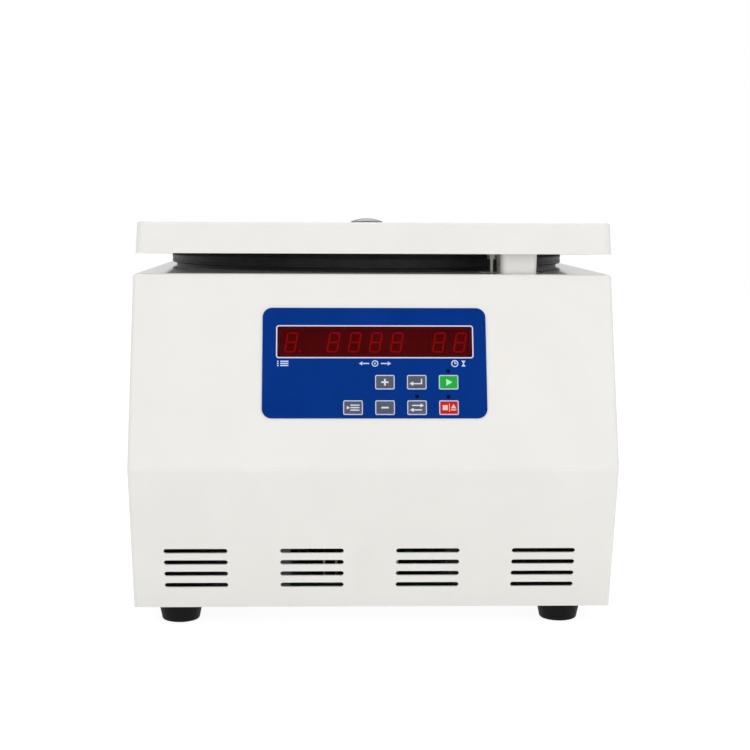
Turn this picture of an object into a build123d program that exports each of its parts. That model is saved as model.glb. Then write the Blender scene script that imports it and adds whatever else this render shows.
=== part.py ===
from build123d import *
from math import cos, radians, sin, sqrt
import os

# Bench microplate centrifuge with a lid, a swing-out rotor and a key panel.
# Millimetres, +Z up, +Y towards the back, origin on the floor under the centre of the box.

# ---- casing -------------------------------------------------------------------------------
side_land = 12.0            # top plate beside the seal
front_land = 39.0           # top plate in front of the seal
rear_land = 42.0            # top plate behind the seal
rear_reach = 5.0            # how far the rearmost fittings stand out of the rear panel
foot_height = 19.5
crease_height = 131.5       # floor pan's underside up to the crease of the front
upper_rise = 167.5          # crease up to the top plate
upper_setback = 58.0        # how far the upper front leans back
lower_setback = 35.0        # how far the lower front is undercut
sheet = 1.5                 # painted steel sheet of casing, rear panel and floor pan
crease_radius = 8.0
top_bend_radius = 3.0
side_edge_radius = 4.0
pan_flange = 14.0

# ---- vents in the lower front -------------------------------------------------------------
vent_length = 56.6
vent_height = 4.6
vent_rows = 4
vent_row_pitch = 11.35
vent_first_row = 79.6       # from the crease down the slope to the first row
vent_groups = 4
vent_group_pitch = 103.3
vent_shift = -3.0           # the groups' middle, to the right of the casing's

# ---- feet ---------------------------------------------------------------------------------
foot_radius = 20.9
foot_tip_radius = 16.9
foot_tip_round = 2.5
foot_shift = -1.3           # the feet's middle, to the right of the casing's
foot_side_inset = 40.3      # foot's centre in from the casing's side
foot_front_inset = 35.0     # from the casing's front bottom edge back to the foot's centre
foot_rear_inset = 60.0
foot_screw_radius = 2.5
foot_screw_head = 5.0
foot_pocket_radius = 7.0
foot_pocket_depth = 9.0
side_screw_spacing = 25.0   # first side screw behind the front foot's centre

# ---- control panel, measured on the sloped front: across, and up from the crease -----------
overlay_width = 198.4
overlay_height = 100.2
overlay_low = 45.3
overlay_corner = 8.5
overlay_thick = 1.0
overlay_shift = 0.6         # the overlay's centre, to the right of the casing's
window_width = 173.0
window_height = 28.0
window_low = 100.4
window_shift = 1.0
window_corner = 1.5
window_thick = 2.4
panel_gap = 0.1             # around pieces let into the overlay
digit_width = 15.0
digit_height = 22.0
digit_depth = 8.0
digit_gap = 0.6             # modules' faces behind the sheet's back
digit_end_inset = 11.38     # end modules' middles in from the window's ends
digit_shift = 0.9           # the middle digit's centre, to the right of the window's
digit_places = (-4, -2, -1, 0, 1, 3, 4)
digit_board_margin = 4.0    # digit board beyond the window's ends
digit_board_rim = 1.0       # and beyond its long sides
digit_post_width = 3.0
digit_post_height = 10.0
board_thick = 1.6
key_width = 17.4
key_height = 13.3
key_corner = 1.2
key_column_pitch = 28.14
key_column_first = -18.55
key_upper_row = 77.6
key_lower_row = 54.7
key_proud = 0.35            # key face above the overlay
key_travel = 0.4
key_gap = 0.25              # around a key in its window
key_flange = 0.8            # the flange behind the overlay, beyond the key on each side
key_flange_thick = 1.0
key_play = 0.1              # key flange to the overlay's back, and to the dome past its travel
dome_radius = 4.5
dome_height = 1.0
keypad_margin = 1.0

# ---- chamber ------------------------------------------------------------------------------
chamber_gap = 9.0           # bowl's wall outside the plate carriers' widest swing
chamber_floor_gap = 17.8    # bowl's floor below the carriers' lowest swing
bowl_wall = 1.2
bowl_floor_radius = 14.0    # round between wall and floor
bowl_flange = 9.0
bowl_drain_hole = 30.0      # radius of the hole for the shaft's boot
seal_width = 16.0
seal_foot_gap = 3.0         # seal's inner edge outside the bowl's wall
seal_height = 17.4
seal_lip = 5.3              # height of the lower lip
seal_groove = 8.5
seal_groove_depth = 0.3
seal_undercut = 4.5          # how far the foot stands back under the lower lip
seal_undercut_height = 2.6
seal_belly = 11.0
seal_plate_gap = 0.3        # seal's skirt inside the top plate's hole

# ---- lid ----------------------------------------------------------------------------------
lid_side_inset = 1.3        # lid's side in from the casing's
lid_shift = 1.2             # the lid's middle, to the right of the casing's
lid_draft = 1.6             # how far each side leans in towards the top
lid_front_overlap = 2.0     # how far the lid stands forward of the top plate's front edge
lid_rear_inset = 19.0       # lid's rear in front of the rear panel
lid_height = 28.0
lid_sheet = 1.5
lid_corner = 7.0
lid_edge_radius = 2.5
lid_gap = 3.0               # between skirt and top plate when closed
liner_sheet = 1.2
seal_to_liner = 0.6
ajar = 1.82                 # degrees that the lid stands open at rest

# ---- hinges -------------------------------------------------------------------------------
hinge_side_inset = 90.0     # hinge's middle in from the casing's side
hinge_behind = 8.5          # pin's axis behind the lid's rear face
hinge_above = 10.0          # pin's axis above the top plate
hinge_pin_radius = 2.5
hinge_pin_head = 4.2
hinge_pin_head_thick = 1.4
hinge_fit = 0.05            # running clearance on the pin
hinge_press = 0.01          # clearance where the pin is held
hinge_eye_radius = 5.6
hinge_knuckle = 34.0
hinge_ear = 7.0
hinge_side_gap = 0.4
hinge_leaf_thick = 2.0
hinge_leaf_height = 21.0
hinge_base_thick = 2.5
hinge_base_back = 9.5       # bracket's base behind the pin's axis
hinge_screw_back = 3.0      # bracket screws behind the pin's axis
hinge_rim = 1.2             # metal round a screw's head on leaf and bracket
screw_radius = 2.0
screw_head_radius = 3.6
screw_head_thick = 2.0
screw_reach = 4.0           # how far a screw's shank runs past the sheets it joins
hole_gap = 0.1              # radial clearance of screw holes

# ---- sight glass --------------------------------------------------------------------------
glass_flange_lip = 4.9       # flange beyond the tube
glass_flange_thick = 3.2
glass_collar_height = 3.4   # collar standing up from the flange
glass_tube_radius = 16.6
glass_tube_wall = 2.6
glass_seat_wall = 1.0        # collar wall beside the lens
glass_seat_depth = 2.6
glass_dome_rise = 3.0
glass_lens_thick = 2.4
glass_nut_lip = 4.9          # nut beyond the tube
glass_nut_thick = 5.0
glass_fit = 0.1

# ---- lid lock -----------------------------------------------------------------------------
lock_side_inset = 82.35     # lock block's middle in from the casing's side
lock_front_inset = 32.0     # and back from the top plate's front edge
block_width = 34.7
block_depth = 38.0
block_below_skirt = 24.0
block_corner = 6.5
block_draft = 0.9           # how much narrower the block is at its foot, on each side
block_slot_height = 9.0
block_slot_above_foot = 3.6
latch_height = 6.5
latch_depth = 12.0
latch_throw = 12.0
latch_guided = 34.0         # length of the latch that stays in its case when it is thrown
latch_start_gap = 3.6       # tip of the retracted latch to the block
latch_guide_gap = 0.4
well_left_reach = 32.15     # well's left and right walls from the block's middle
well_right_reach = 23.85
well_depth_y = 44.0
well_depth_z = 36.0         # from the top plate's underside to the well's floor
well_wall = 1.6
well_flange = 4.0
lock_case_height = 26.0
lock_case_depth = 30.0
lock_case_wall = 3.0
solenoid_radius = 11.0
switch_bolt_left = 24.45    # bolt's axis to the left of the block's middle
switch_bolt_ahead = 14.0    # and in front of it
switch_bolt_radius = 1.6
switch_bolt_below = 34.0    # tip below the lid's skirt
switch_bolt_collar_radius = 4.5
switch_nut_flats = 7.0
switch_nut_thick = 3.6
switch_nut_below = 1.0      # nut's top below the lid's skirt
microswitch_width = 20.0
microswitch_depth = 6.4
microswitch_height = 10.0
microswitch_button = 1.5
switch_clearance = 0.5      # bolt's tip over the switch button with the lid shut

# ---- motor --------------------------------------------------------------------------------
motor_radius = 62.0
motor_wall = 4.0
motor_length = 84.0
motor_rib_depth = 4.0
motor_rib_width = 2.0
motor_rib_inset = 8.0       # ribs' ends in from the can's
motor_plate_thick = 6.0
motor_plate_side = 170.0
motor_plate_corner = 18.0
motor_below_bowl = 22.0     # motor plate's top below the bowl's floor
stator_thick = 18.0
stator_length = 46.0
armature_gap = 0.5
mount_radius = 14.0
mount_height = 22.0
mount_neck_radius = 10.0
post_radius = 11.0
mount_inset = 17.0          # mount's centre in from the motor plate's edges
shaft_radius = 7.0
shaft_fit = 0.05
bearing_outer = 16.0
bearing_width = 10.0
boot_outer = 29.0
boot_wall = 2.0
boot_folds = 2
boot_clearance = 4.0        # boot's top collar to the shaft

# ---- rotor --------------------------------------------------------------------------------
rotor_below_top = 62.0      # trunnions' axis below the top plate
trunnion_x = 83.0
rotor_bar_y = 76.0
rotor_bar_thick = 9.0
rotor_bar_height = 18.0
rotor_bar_end = 13.0        # bar beyond the trunnion's axis
rotor_web_half = 17.0
rotor_hub_radius = 24.0
rotor_hub_below = 24.0
rotor_cap_radius = 15.0
rotor_cap_height = 12.0
rotor_fit = 0.02
trunnion_radius = 4.0
trunnion_fit = 0.06
trunnion_engage = 4.5       # trunnion's length past the bar's inner face
plate_width = 85.5
plate_length = 127.8
plate_play = 1.2
carrier_wall = 1.8
carrier_floor = 3.0
carrier_depth = 64.0        # trunnion axis down to the carrier's underside
carrier_rim = 26.0
carrier_strap = 34.0
carrier_ear_radius = 9.0
carrier_corner = 3.0

# ---- rear fittings ------------------------------------------------------------------------
fan_side = 92.0
fan_thick = 25.0
fan_bore_radius = 43.0
fan_hub_radius = 18.0
fan_tip_gap = 1.5
fan_blades = 7
fan_blade_thick = 1.8
fan_blade_twist = 32.0
fan_side_inset = 100.0      # fan's axis in from the casing's side
fan_z = 120.0
fan_hole_pitch = 82.5
fan_strut_width = 5.0
fan_motor_depth = 6.0
fan_axle_radius = 2.0
fan_axle_fit = 0.05
guard_wire = 0.85           # radius of the guard's wire
guard_rings = 4
guard_seat = 2.8            # guard's outer side, where its screws sit
inlet_side_inset = 85.0     # mains inlet's middle in from the casing's side
inlet_z = 62.0
inlet_width = 50.0
inlet_height = 24.0
inlet_body_width = 28.0
inlet_body_height = 20.0
inlet_body_depth = 24.0
inlet_recess_width = 24.4
inlet_recess_height = 16.4
inlet_recess_depth = 16.0
inlet_pin_width = 2.0
inlet_pin_height = 4.0
inlet_pin_pitch = 7.0
inlet_screw_pitch = 40.0
rocker_from_inlet = 70.0
rocker_flange_width = 31.0
rocker_flange_height = 15.0
rocker_body_width = 27.0
rocker_body_height = 12.2
rocker_body_depth = 20.0
rocker_width = 22.0
rocker_height = 9.4
rocker_tilt = 11.0          # degrees of each lean of the rocker
rocker_end_gap = 1.5        # the rocker's ends swing outwards as it tilts
rocker_side_gap = 0.4
rocker_well_depth = 9.0
rocker_pin_radius = 1.3
rocker_pin_depth = 3.2      # the rocker's pin inside the rear panel's outer face
fuse_from_inlet = 114.0
fuse_pitch = 28.0
fuse_body_radius = 6.0
fuse_cap_radius = 7.5
fuse_body_depth = 26.0
rear_slots = 6
rear_slot_length = 70.0
rear_slot_height = 4.0
rear_slot_pitch = 10.0
rear_slot_from_inlet = 10.0 # slots' middle beside the inlet's
rear_slot_z = 170.0

# ---- electronics --------------------------------------------------------------------------
board_width = 150.0
board_depth = 90.0
board_standoff = 9.0
board_x = 0.0
board_front_inset = 80.0    # board's middle behind the casing's front bottom edge
capacitor_radius = 9.0
capacitor_height = 28.0
capacitor_inset = 16.0      # first capacitor's centre in from the board's end
capacitor_pitch = 22.0
sink_width = 70.0
sink_depth = 50.0
sink_base = 5.0
sink_fins = 7
sink_fin_height = 22.0
sink_fin_thick = 2.0
filter_width = 60.0
filter_depth = 46.0
filter_height = 32.0
filter_from_inlet = 10.0
filter_rear_inset = 80.0
terminal_width = 12.0
terminal_height = 12.0
terminal_inset = 6.0

# ---- places worked out from the sizes -------------------------------------------------------
carrier_half_x = plate_width / 2 + plate_play + carrier_wall
carrier_half_y = plate_length / 2 + plate_play + carrier_wall
carrier_swing = sqrt(carrier_half_x**2 + carrier_depth**2)
bowl_radius = sqrt((trunnion_x + carrier_swing)**2 + carrier_half_y**2) + chamber_gap
seal_inner = bowl_radius + seal_foot_gap
seal_outer = seal_inner + seal_width
casing_width = 2 * (seal_outer + side_land)
overall_depth = upper_setback + front_land + 2 * seal_outer + rear_land + rear_reach
front_y = -overall_depth / 2
rear_y = overall_depth / 2 - rear_reach
base_z = foot_height
crease_z = base_z + crease_height
top_z = crease_z + upper_rise
top_front_y = front_y + upper_setback
base_front_y = front_y + lower_setback
under_top_z = top_z - sheet
pan_top_z = base_z + sheet
rear_inside_y = rear_y - sheet
upper_length = sqrt(upper_rise**2 + upper_setback**2)
lower_length = sqrt(crease_height**2 + lower_setback**2)
chamber_y = top_front_y + front_land + seal_outer
rotor_height = top_z - rotor_below_top
foot_x = casing_width / 2 - foot_side_inset
lid_width = casing_width - 2 * lid_side_inset
lid_front_y = top_front_y - lid_front_overlap
lid_rear_y = rear_y - lid_rear_inset
lid_depth = lid_rear_y - lid_front_y
skirt_z = top_z + lid_gap
lid_top_z = skirt_z + lid_height
liner_z = top_z + seal_height + seal_to_liner
hinge_y = lid_rear_y + hinge_behind
hinge_z = top_z + hinge_above
bowl_top_z = under_top_z
bowl_floor_z = rotor_height - carrier_swing - chamber_floor_gap
lock_x = casing_width / 2 - lock_side_inset
lock_y = top_front_y + lock_front_inset
well_left = lock_x - well_left_reach
well_right = lock_x + well_right_reach
switch_bolt_x = lock_x - switch_bolt_left
switch_bolt_y = lock_y - switch_bolt_ahead
hinge_x = casing_width / 2 - hinge_side_inset
fan_x = fan_side_inset - casing_width / 2
inlet_x = casing_width / 2 - inlet_side_inset
rocker_x = inlet_x - rocker_from_inlet
fuse_x = (inlet_x - fuse_from_inlet, inlet_x - fuse_from_inlet - fuse_pitch)
rear_slot_x = inlet_x - rear_slot_from_inlet
filter_x = inlet_x - filter_from_inlet
filter_y = rear_y - filter_rear_inset
board_y = base_front_y + board_front_inset
block_foot_z = skirt_z - block_below_skirt
latch_z = block_foot_z + block_slot_above_foot + block_slot_height / 2
motor_plate_top = bowl_floor_z - motor_below_bowl
motor_plate_z = motor_plate_top - motor_plate_thick
motor_foot_z = motor_plate_z - motor_length

upper_front = Plane(
    origin=(0, front_y, crease_z),
    x_dir=(1, 0, 0),
    z_dir=(0, -upper_rise, upper_setback),
)
lower_front = Plane(
    origin=(0, front_y, crease_z),
    x_dir=(1, 0, 0),
    z_dir=(0, -crease_height, -lower_setback),
)
hinge_ear_outer = hinge_knuckle / 2 + hinge_side_gap + hinge_ear
hinge_screw_reach = hinge_ear_outer + hinge_pin_head_thick + screw_head_radius + hinge_rim
hinge_plate_reach = hinge_screw_reach + screw_head_radius + hinge_rim
hinge_axis = Axis((0, hinge_y, hinge_z), (-1, 0, 0))

parts = {}


def keep(node, *solids):
    """Hold the solids of one node, to be written at the end."""
    parts[node] = [piece for solid in solids for piece in solid.solids()]


def block(x, y, z):
    """A box from three (low, high) pairs."""
    low = (min(x), min(y), min(z))
    size = (max(x) - min(x), max(y) - min(y), max(z) - min(z))
    return Pos(*low) * Box(*size, align=(Align.MIN, Align.MIN, Align.MIN))


def rod(radius, start, end):
    """A round bar between two points."""
    line = Vector(*end) - Vector(*start)
    plane = Plane(origin=start, z_dir=line)
    return plane * Cylinder(radius, line.length, align=(Align.CENTER, Align.CENTER, Align.MIN))


def upright(radius, x, y, low, high):
    """A round bar along Z."""
    return rod(radius, (x, y, low), (x, y, high))


def panel_plate(width, height, corner, x, up, low, high):
    """A rounded plate on the sloped front, from low to high along its outward normal."""
    outline = Pos(x, up, low) * RectangleRounded(width, height, corner)
    return upper_front * extrude(outline, high - low)


def panel_block(width, height, x, up, low, high):
    """A square-cornered plate on the sloped front."""
    outline = Pos(x, up, low) * Rectangle(width, height)
    return upper_front * extrude(outline, high - low)


def tilted(solid):
    """Turn a lid piece from shut to its resting angle."""
    return solid.rotate(hinge_axis, ajar)


def spun(points, x, y):
    """A ring turned about a vertical axis from (radius, height) points."""
    outline = make_face(Plane.XZ * Polyline(*points, close=True))
    return Pos(x, y, 0) * revolve(outline, Axis.Z, 360)


# ---- casing and floor -----------------------------------------------------------------------
def casing_form(inset, low, back):
    """The casing's outer form drawn in by a gap, from a low level to a back plane."""
    lower_shift = inset * lower_length / crease_height
    upper_shift = inset * upper_length / upper_rise
    lean = upper_setback / upper_rise + lower_setback / crease_height
    bend = (lower_shift - upper_shift) / lean
    bend_y = front_y + upper_shift + bend * upper_setback / upper_rise
    high = top_z - inset
    high_y = front_y + upper_shift + (high - crease_z) * upper_setback / upper_rise
    low_y = front_y + lower_shift + (crease_z - low) * lower_setback / crease_height
    outline = Polyline(
        (0, low_y, low),
        (0, bend_y, crease_z + bend),
        (0, high_y, high),
        (0, back, high),
        (0, back, low),
        close=True,
    )
    half = casing_width / 2 - inset
    form = extrude(Pos(-half, 0, 0) * make_face(outline), 2 * half, dir=(1, 0, 0))
    across = form.edges().filter_by(Axis.X)
    form = fillet(across.sort_by(Axis.Y)[0], crease_radius - inset)
    top_edge = form.edges().filter_by(Axis.X).group_by(Axis.Z)[-1].sort_by(Axis.Y)[0]
    form = fillet(top_edge, top_bend_radius - inset)
    sides = [
        edge
        for face in form.faces().filter_by(Axis.X)
        for edge in face.edges()
        if edge.center().Z > low + 1 and edge.center().Y < back - 1
    ]
    return fillet(sides, side_edge_radius - inset)


def vent_slots():
    """The rounded slots of the lower front, cut square to the sheet."""
    slots = []
    for group in range(vent_groups):
        x = vent_shift + (group - (vent_groups - 1) / 2) * vent_group_pitch
        for row in range(vent_rows):
            down = vent_first_row + row * vent_row_pitch
            slot = Pos(x, -down, -2 * sheet) * SlotOverall(vent_length, vent_height)
            slots.append(lower_front * extrude(slot, 3 * sheet))
    return slots


def foot_places():
    """Centres of the feet."""
    rows = (base_front_y + foot_front_inset, rear_y - foot_rear_inset)
    return [(foot_shift + side * foot_x, y) for side in (-1, 1) for y in rows]


def mount_places():
    """Centres of the motor's vibration mounts."""
    reach = motor_plate_side / 2 - mount_inset
    return [(i * reach, chamber_y + j * reach) for i in (-1, 1) for j in (-1, 1)]


key_columns = [key_column_first + key_column_pitch * i for i in range(4)]
keys = {
    "key_select": (key_columns[0], key_lower_row),
    "key_minus": (key_columns[1], key_lower_row),
    "key_speed": (key_columns[2], key_lower_row),
    "key_stop": (key_columns[3], key_lower_row),
    "key_plus": (key_columns[1], key_upper_row),
    "key_enter": (key_columns[2], key_upper_row),
    "key_start": (key_columns[3], key_upper_row),
}
keypad_x = (key_columns[0] + key_columns[3]) / 2
keypad_up = (key_lower_row + key_upper_row) / 2
keypad_width = key_columns[3] - key_columns[0] + key_width + 2 * (key_flange + keypad_margin)
keypad_height = key_upper_row - key_lower_row + key_height + 2 * (key_flange + keypad_margin)
window_x = window_shift
window_up = window_low + window_height / 2
keypad_board_top = -key_play - key_flange_thick - key_travel - key_play - dome_height
digit_top = -sheet - digit_gap
digit_board_top = digit_top - digit_depth
digit_pitch = (window_width / 2 - digit_end_inset) / max(digit_places)
overlay_up = overlay_low + overlay_height / 2


def make_casing():
    form = casing_form(0, base_z, rear_y)
    form -= casing_form(sheet, base_z - sheet, rear_y + sheet)
    form -= vent_slots()
    form -= upright(seal_inner + seal_plate_gap, 0, chamber_y, under_top_z - 1, top_z + 1)
    form -= block(
        (well_left, well_right),
        (lock_y - well_depth_y / 2, lock_y + well_depth_y / 2),
        (under_top_z - 1, top_z + 1),
    )
    opening = (window_width - 4, window_height - 3)
    form -= panel_block(*opening, window_x, window_up, -sheet - 1, 1)
    form -= panel_block(keypad_width, keypad_height, keypad_x, keypad_up, -sheet - 1, 1)
    for x, y in hinge_screw_places():
        form -= upright(screw_radius + hole_gap, x, y, under_top_z - 1, top_z + 1)
    for side, y, z in side_screw_places():
        wall = casing_width / 2
        form -= rod(screw_radius + hole_gap, (side * (wall + 1), y, z), (side * (wall - 4), y, z))
    return form


def side_screw_places():
    """Screws that join the casing's sides to the floor pan."""
    z = base_z + pan_flange * 0.6
    rows = (base_front_y + foot_front_inset + side_screw_spacing, chamber_y, rear_y - foot_rear_inset)
    return [(side, y, z) for side in (-1, 1) for y in rows]


def hinge_screw_places():
    """Screws that hold the hinge brackets on the top plate."""
    y = hinge_y + hinge_screw_back
    return [(side * hinge_x + end * hinge_screw_reach, y) for side in (-1, 1) for end in (-1, 1)]


def make_base_plate():
    low_y = base_front_y + sheet * lower_length / crease_height
    inside = casing_width / 2 - sheet
    pan = casing_form(sheet, base_z, rear_inside_y)
    pan &= block((-inside, inside), (front_y, rear_inside_y), (base_z, base_z + pan_flange))
    hollow = block(
        (sheet - inside, inside - sheet),
        (low_y + sheet, rear_inside_y - sheet),
        (pan_top_z, base_z + pan_flange + 1),
    )
    pan -= hollow
    for x, y in foot_places():
        pan -= upright(foot_screw_radius + hole_gap, x, y, base_z - 1, pan_top_z + 1)
    for side, y, z in side_screw_places():
        pan -= rod(screw_radius + hole_gap, (side * (inside + 1), y, z), (side * (inside - 4), y, z))
    return pan


def make_feet():
    feet = []
    for x, y in foot_places():
        foot = Pos(x, y, 0) * Cone(
            foot_tip_radius, foot_radius, foot_height, align=(Align.CENTER, Align.CENTER, Align.MIN)
        )
        foot = fillet(foot.edges().group_by(Axis.Z)[0], foot_tip_round)
        foot -= upright(foot_pocket_radius, x, y, -1, foot_pocket_depth)
        foot -= upright(foot_screw_radius + hole_gap, x, y, -1, foot_height + 1)
        feet.append(foot)
    return feet


def make_foot_screws():
    screws = []
    for x, y in foot_places():
        shank = upright(foot_screw_radius, x, y, foot_pocket_depth - 3, pan_top_z + screw_reach)
        shank += upright(foot_screw_head, x, y, foot_pocket_depth - 3, foot_pocket_depth)
        nut = Pos(x, y, pan_top_z) * extrude(RegularPolygon(foot_screw_head, 6), 3)
        screws.append(shank + nut)
    return screws


def pan_screw(tip, head):
    """A pan-head screw from the underside of its head, tip first."""
    line = Vector(*head) - Vector(*tip)
    plane = Plane(origin=head, z_dir=line)
    button = plane * Cylinder(
        screw_head_radius, screw_head_thick, align=(Align.CENTER, Align.CENTER, Align.MIN)
    )
    far = button.faces().sort_by(lambda face: (face.center() - Vector(*head)).length)[-1]
    button = fillet(far.edges(), screw_head_thick * 0.4)
    drive = plane * Pos(0, 0, screw_head_thick * 0.45)
    for turn in (0, 90):
        bar = Box(screw_head_radius * 1.1, 0.9, 3, align=(Align.CENTER, Align.CENTER, Align.MIN))
        button -= drive * Rot(0, 0, turn) * bar
    return button + rod(screw_radius, tip, head)


def make_casing_screws():
    wall = casing_width / 2
    screws = []
    for side, y, z in side_screw_places():
        tip = (side * (wall - 2 * sheet - screw_reach), y, z)
        screws.append(pan_screw(tip, (side * wall, y, z)))
    return screws


keep("casing", make_casing())
keep("base_plate", make_base_plate())
keep("feet", *make_feet())
keep("foot_screws", *make_foot_screws())
keep("casing_screws", *make_casing_screws())


# ---- control panel --------------------------------------------------------------------------
def make_overlay():
    sheet_form = panel_plate(
        overlay_width, overlay_height, overlay_corner, overlay_shift, overlay_up, 0, overlay_thick
    )
    sheet_form -= panel_plate(
        window_width + 2 * panel_gap,
        window_height + 2 * panel_gap,
        window_corner,
        window_x,
        window_up,
        -1,
        overlay_thick + 1,
    )
    for x, up in keys.values():
        sheet_form -= panel_plate(
            key_width + 2 * key_gap, key_height + 2 * key_gap, key_corner, x, up, -1, overlay_thick + 1
        )
    return sheet_form


def make_window():
    pane = panel_plate(
        window_width, window_height, window_corner - panel_gap, window_x, window_up, 0, overlay_thick
    )
    behind = overlay_thick - window_thick
    pane += panel_block(
        window_width - 4 - 2 * panel_gap, window_height - 3 - 2 * panel_gap, window_x, window_up, behind, 0
    )
    return pane


def make_key(x, up):
    cap = panel_plate(key_width, key_height, key_corner, x, up, -key_play, overlay_thick + key_proud)
    face = cap.faces().sort_by(lambda f: f.center().dot(upper_front.z_dir))[-1]
    cap = fillet(face.edges(), 0.3)
    cap += panel_plate(
        key_width + 2 * key_flange,
        key_height + 2 * key_flange,
        key_corner + key_flange,
        x,
        up,
        -key_play - key_flange_thick,
        -key_play,
    )
    return cap


def make_key_domes():
    domes = []
    for x, up in keys.values():
        outline = Pos(x, up, keypad_board_top) * Circle(dome_radius)
        dome = upper_front * extrude(outline, dome_height, taper=50)
        domes.append(dome)
    return domes


def make_boards():
    boards = []
    frame_rim = 3.0
    keypad_board = panel_block(
        keypad_width + 2 * frame_rim,
        keypad_height + 2 * frame_rim,
        keypad_x,
        keypad_up,
        keypad_board_top - board_thick,
        keypad_board_top,
    )
    rim = panel_block(
        keypad_width + 2 * frame_rim,
        keypad_height + 2 * frame_rim,
        keypad_x,
        keypad_up,
        keypad_board_top,
        -sheet,
    )
    rim -= panel_block(
        keypad_width, keypad_height, keypad_x, keypad_up, keypad_board_top - board_thick, 0
    )
    boards.append(keypad_board + rim)
    long_side = window_width + 2 * digit_board_margin
    tall_side = window_height + 2 * digit_board_rim
    digit_board = panel_block(
        long_side, tall_side, window_x, window_up, digit_board_top - board_thick, digit_board_top
    )
    for side in (-1, 1):
        post_x = window_x + side * (window_width / 2 + digit_board_margin - digit_post_width)
        digit_board += panel_block(
            digit_post_width, digit_post_height, post_x, window_up, digit_board_top, -sheet
        )
    boards.append(digit_board)
    return boards


def make_digits():
    digits = []
    for place in digit_places:
        x = window_x + digit_shift + place * digit_pitch
        digits.append(
            panel_block(digit_width, digit_height, x, window_up, digit_board_top, digit_top)
        )
    return digits


keep("front_overlay", make_overlay())
keep("display_window", make_window())
for key_name, (key_x, key_up) in keys.items():
    keep(key_name, make_key(key_x, key_up))
keep("key_domes", *make_key_domes())
keep("display_board", *make_boards())
keep("led_digits", *make_digits())


# ---- rear panel -----------------------------------------------------------------------------
def rear_block(x, z, width, height, low, high):
    """A square block on the rear panel, low and high measured outwards from its outer face."""
    return block(
        (x - width / 2, x + width / 2), (rear_y + low, rear_y + high), (z - height / 2, z + height / 2)
    )


def rear_rod(radius, x, z, low, high):
    """A round bar square to the rear panel."""
    return rod(radius, (x, rear_y + low, z), (x, rear_y + high, z))


def fan_holes():
    """Centres of the fan's four screw holes."""
    reach = fan_hole_pitch / 2
    return [(fan_x + i * reach, fan_z + j * reach) for i in (-1, 1) for j in (-1, 1)]


def inlet_holes():
    """Centres of the mains inlet's two screws."""
    return [(inlet_x + side * inlet_screw_pitch / 2, inlet_z) for side in (-1, 1)]


def rear_screw_places():
    """Screws along the rear panel's sides."""
    reach = casing_width / 2 - sheet - pan_flange / 2
    levels = (base_z + pan_flange * 1.6, (base_z + top_z) / 2, top_z - pan_flange)
    return [(side * reach, level) for side in (-1, 1) for level in levels]


def make_rear_panel():
    inside = casing_width / 2 - sheet
    panel = block((-inside, inside), (rear_inside_y, rear_y), (base_z, under_top_z))
    corners = panel.edges().filter_by(Axis.Y).group_by(Axis.Z)[-1]
    panel = fillet(corners, side_edge_radius - sheet)
    panel -= rear_rod(fan_bore_radius, fan_x, fan_z, -sheet - 1, 1)
    for x, z in fan_holes() + inlet_holes():
        panel -= rear_rod(screw_radius + hole_gap, x, z, -sheet - 1, 1)
    panel -= rear_block(inlet_x, inlet_z, inlet_body_width, inlet_body_height, -sheet - 1, 1)
    panel -= rear_block(rocker_x, inlet_z, rocker_body_width, rocker_body_height, -sheet - 1, 1)
    for x in fuse_x:
        panel -= rear_rod(fuse_body_radius + hole_gap, x, inlet_z, -sheet - 1, 1)
    for row in range(rear_slots):
        z = rear_slot_z + row * rear_slot_pitch
        panel -= rear_block(rear_slot_x, z, rear_slot_length, rear_slot_height, -sheet - 1, 1)
    flanges = []
    for side in (-1, 1):
        flanges.append(
            block(
                (side * inside, side * (inside - sheet)),
                (rear_inside_y - pan_flange, rear_inside_y),
                (base_z + pan_flange + 1, under_top_z - side_edge_radius),
            )
        )
    panel += flanges
    for x, z in rear_screw_places():
        panel -= rear_rod(screw_radius + hole_gap, x, z, -sheet - 1, 1)
    return panel


def make_fan_frame():
    half = fan_side / 2
    frame = block(
        (fan_x - half, fan_x + half),
        (rear_inside_y - fan_thick, rear_inside_y),
        (fan_z - half, fan_z + half),
    )
    frame = fillet(frame.edges().filter_by(Axis.Y), 4)
    outer = rear_inside_y - rear_y
    frame -= rear_rod(fan_bore_radius, fan_x, fan_z, outer - fan_thick - 1, 1)
    for x, z in fan_holes():
        frame -= rear_rod(screw_radius + hole_gap, x, z, outer - fan_thick - 1, 1)
    back = outer - fan_thick
    frame += rear_rod(fan_hub_radius, fan_x, fan_z, back, back + fan_motor_depth)
    for turn in range(4):
        half = fan_strut_width / 2
        strut = block((0, fan_bore_radius + 1), (0, fan_motor_depth * 0.7), (-half, half))
        strut = strut.rotate(Axis.Y, 90 * turn + 45)
        frame += Pos(fan_x, rear_y + back, fan_z) * strut
    frame += rear_rod(fan_axle_radius, fan_x, fan_z, back + 1, back + fan_thick * 0.75)
    return frame


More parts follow.
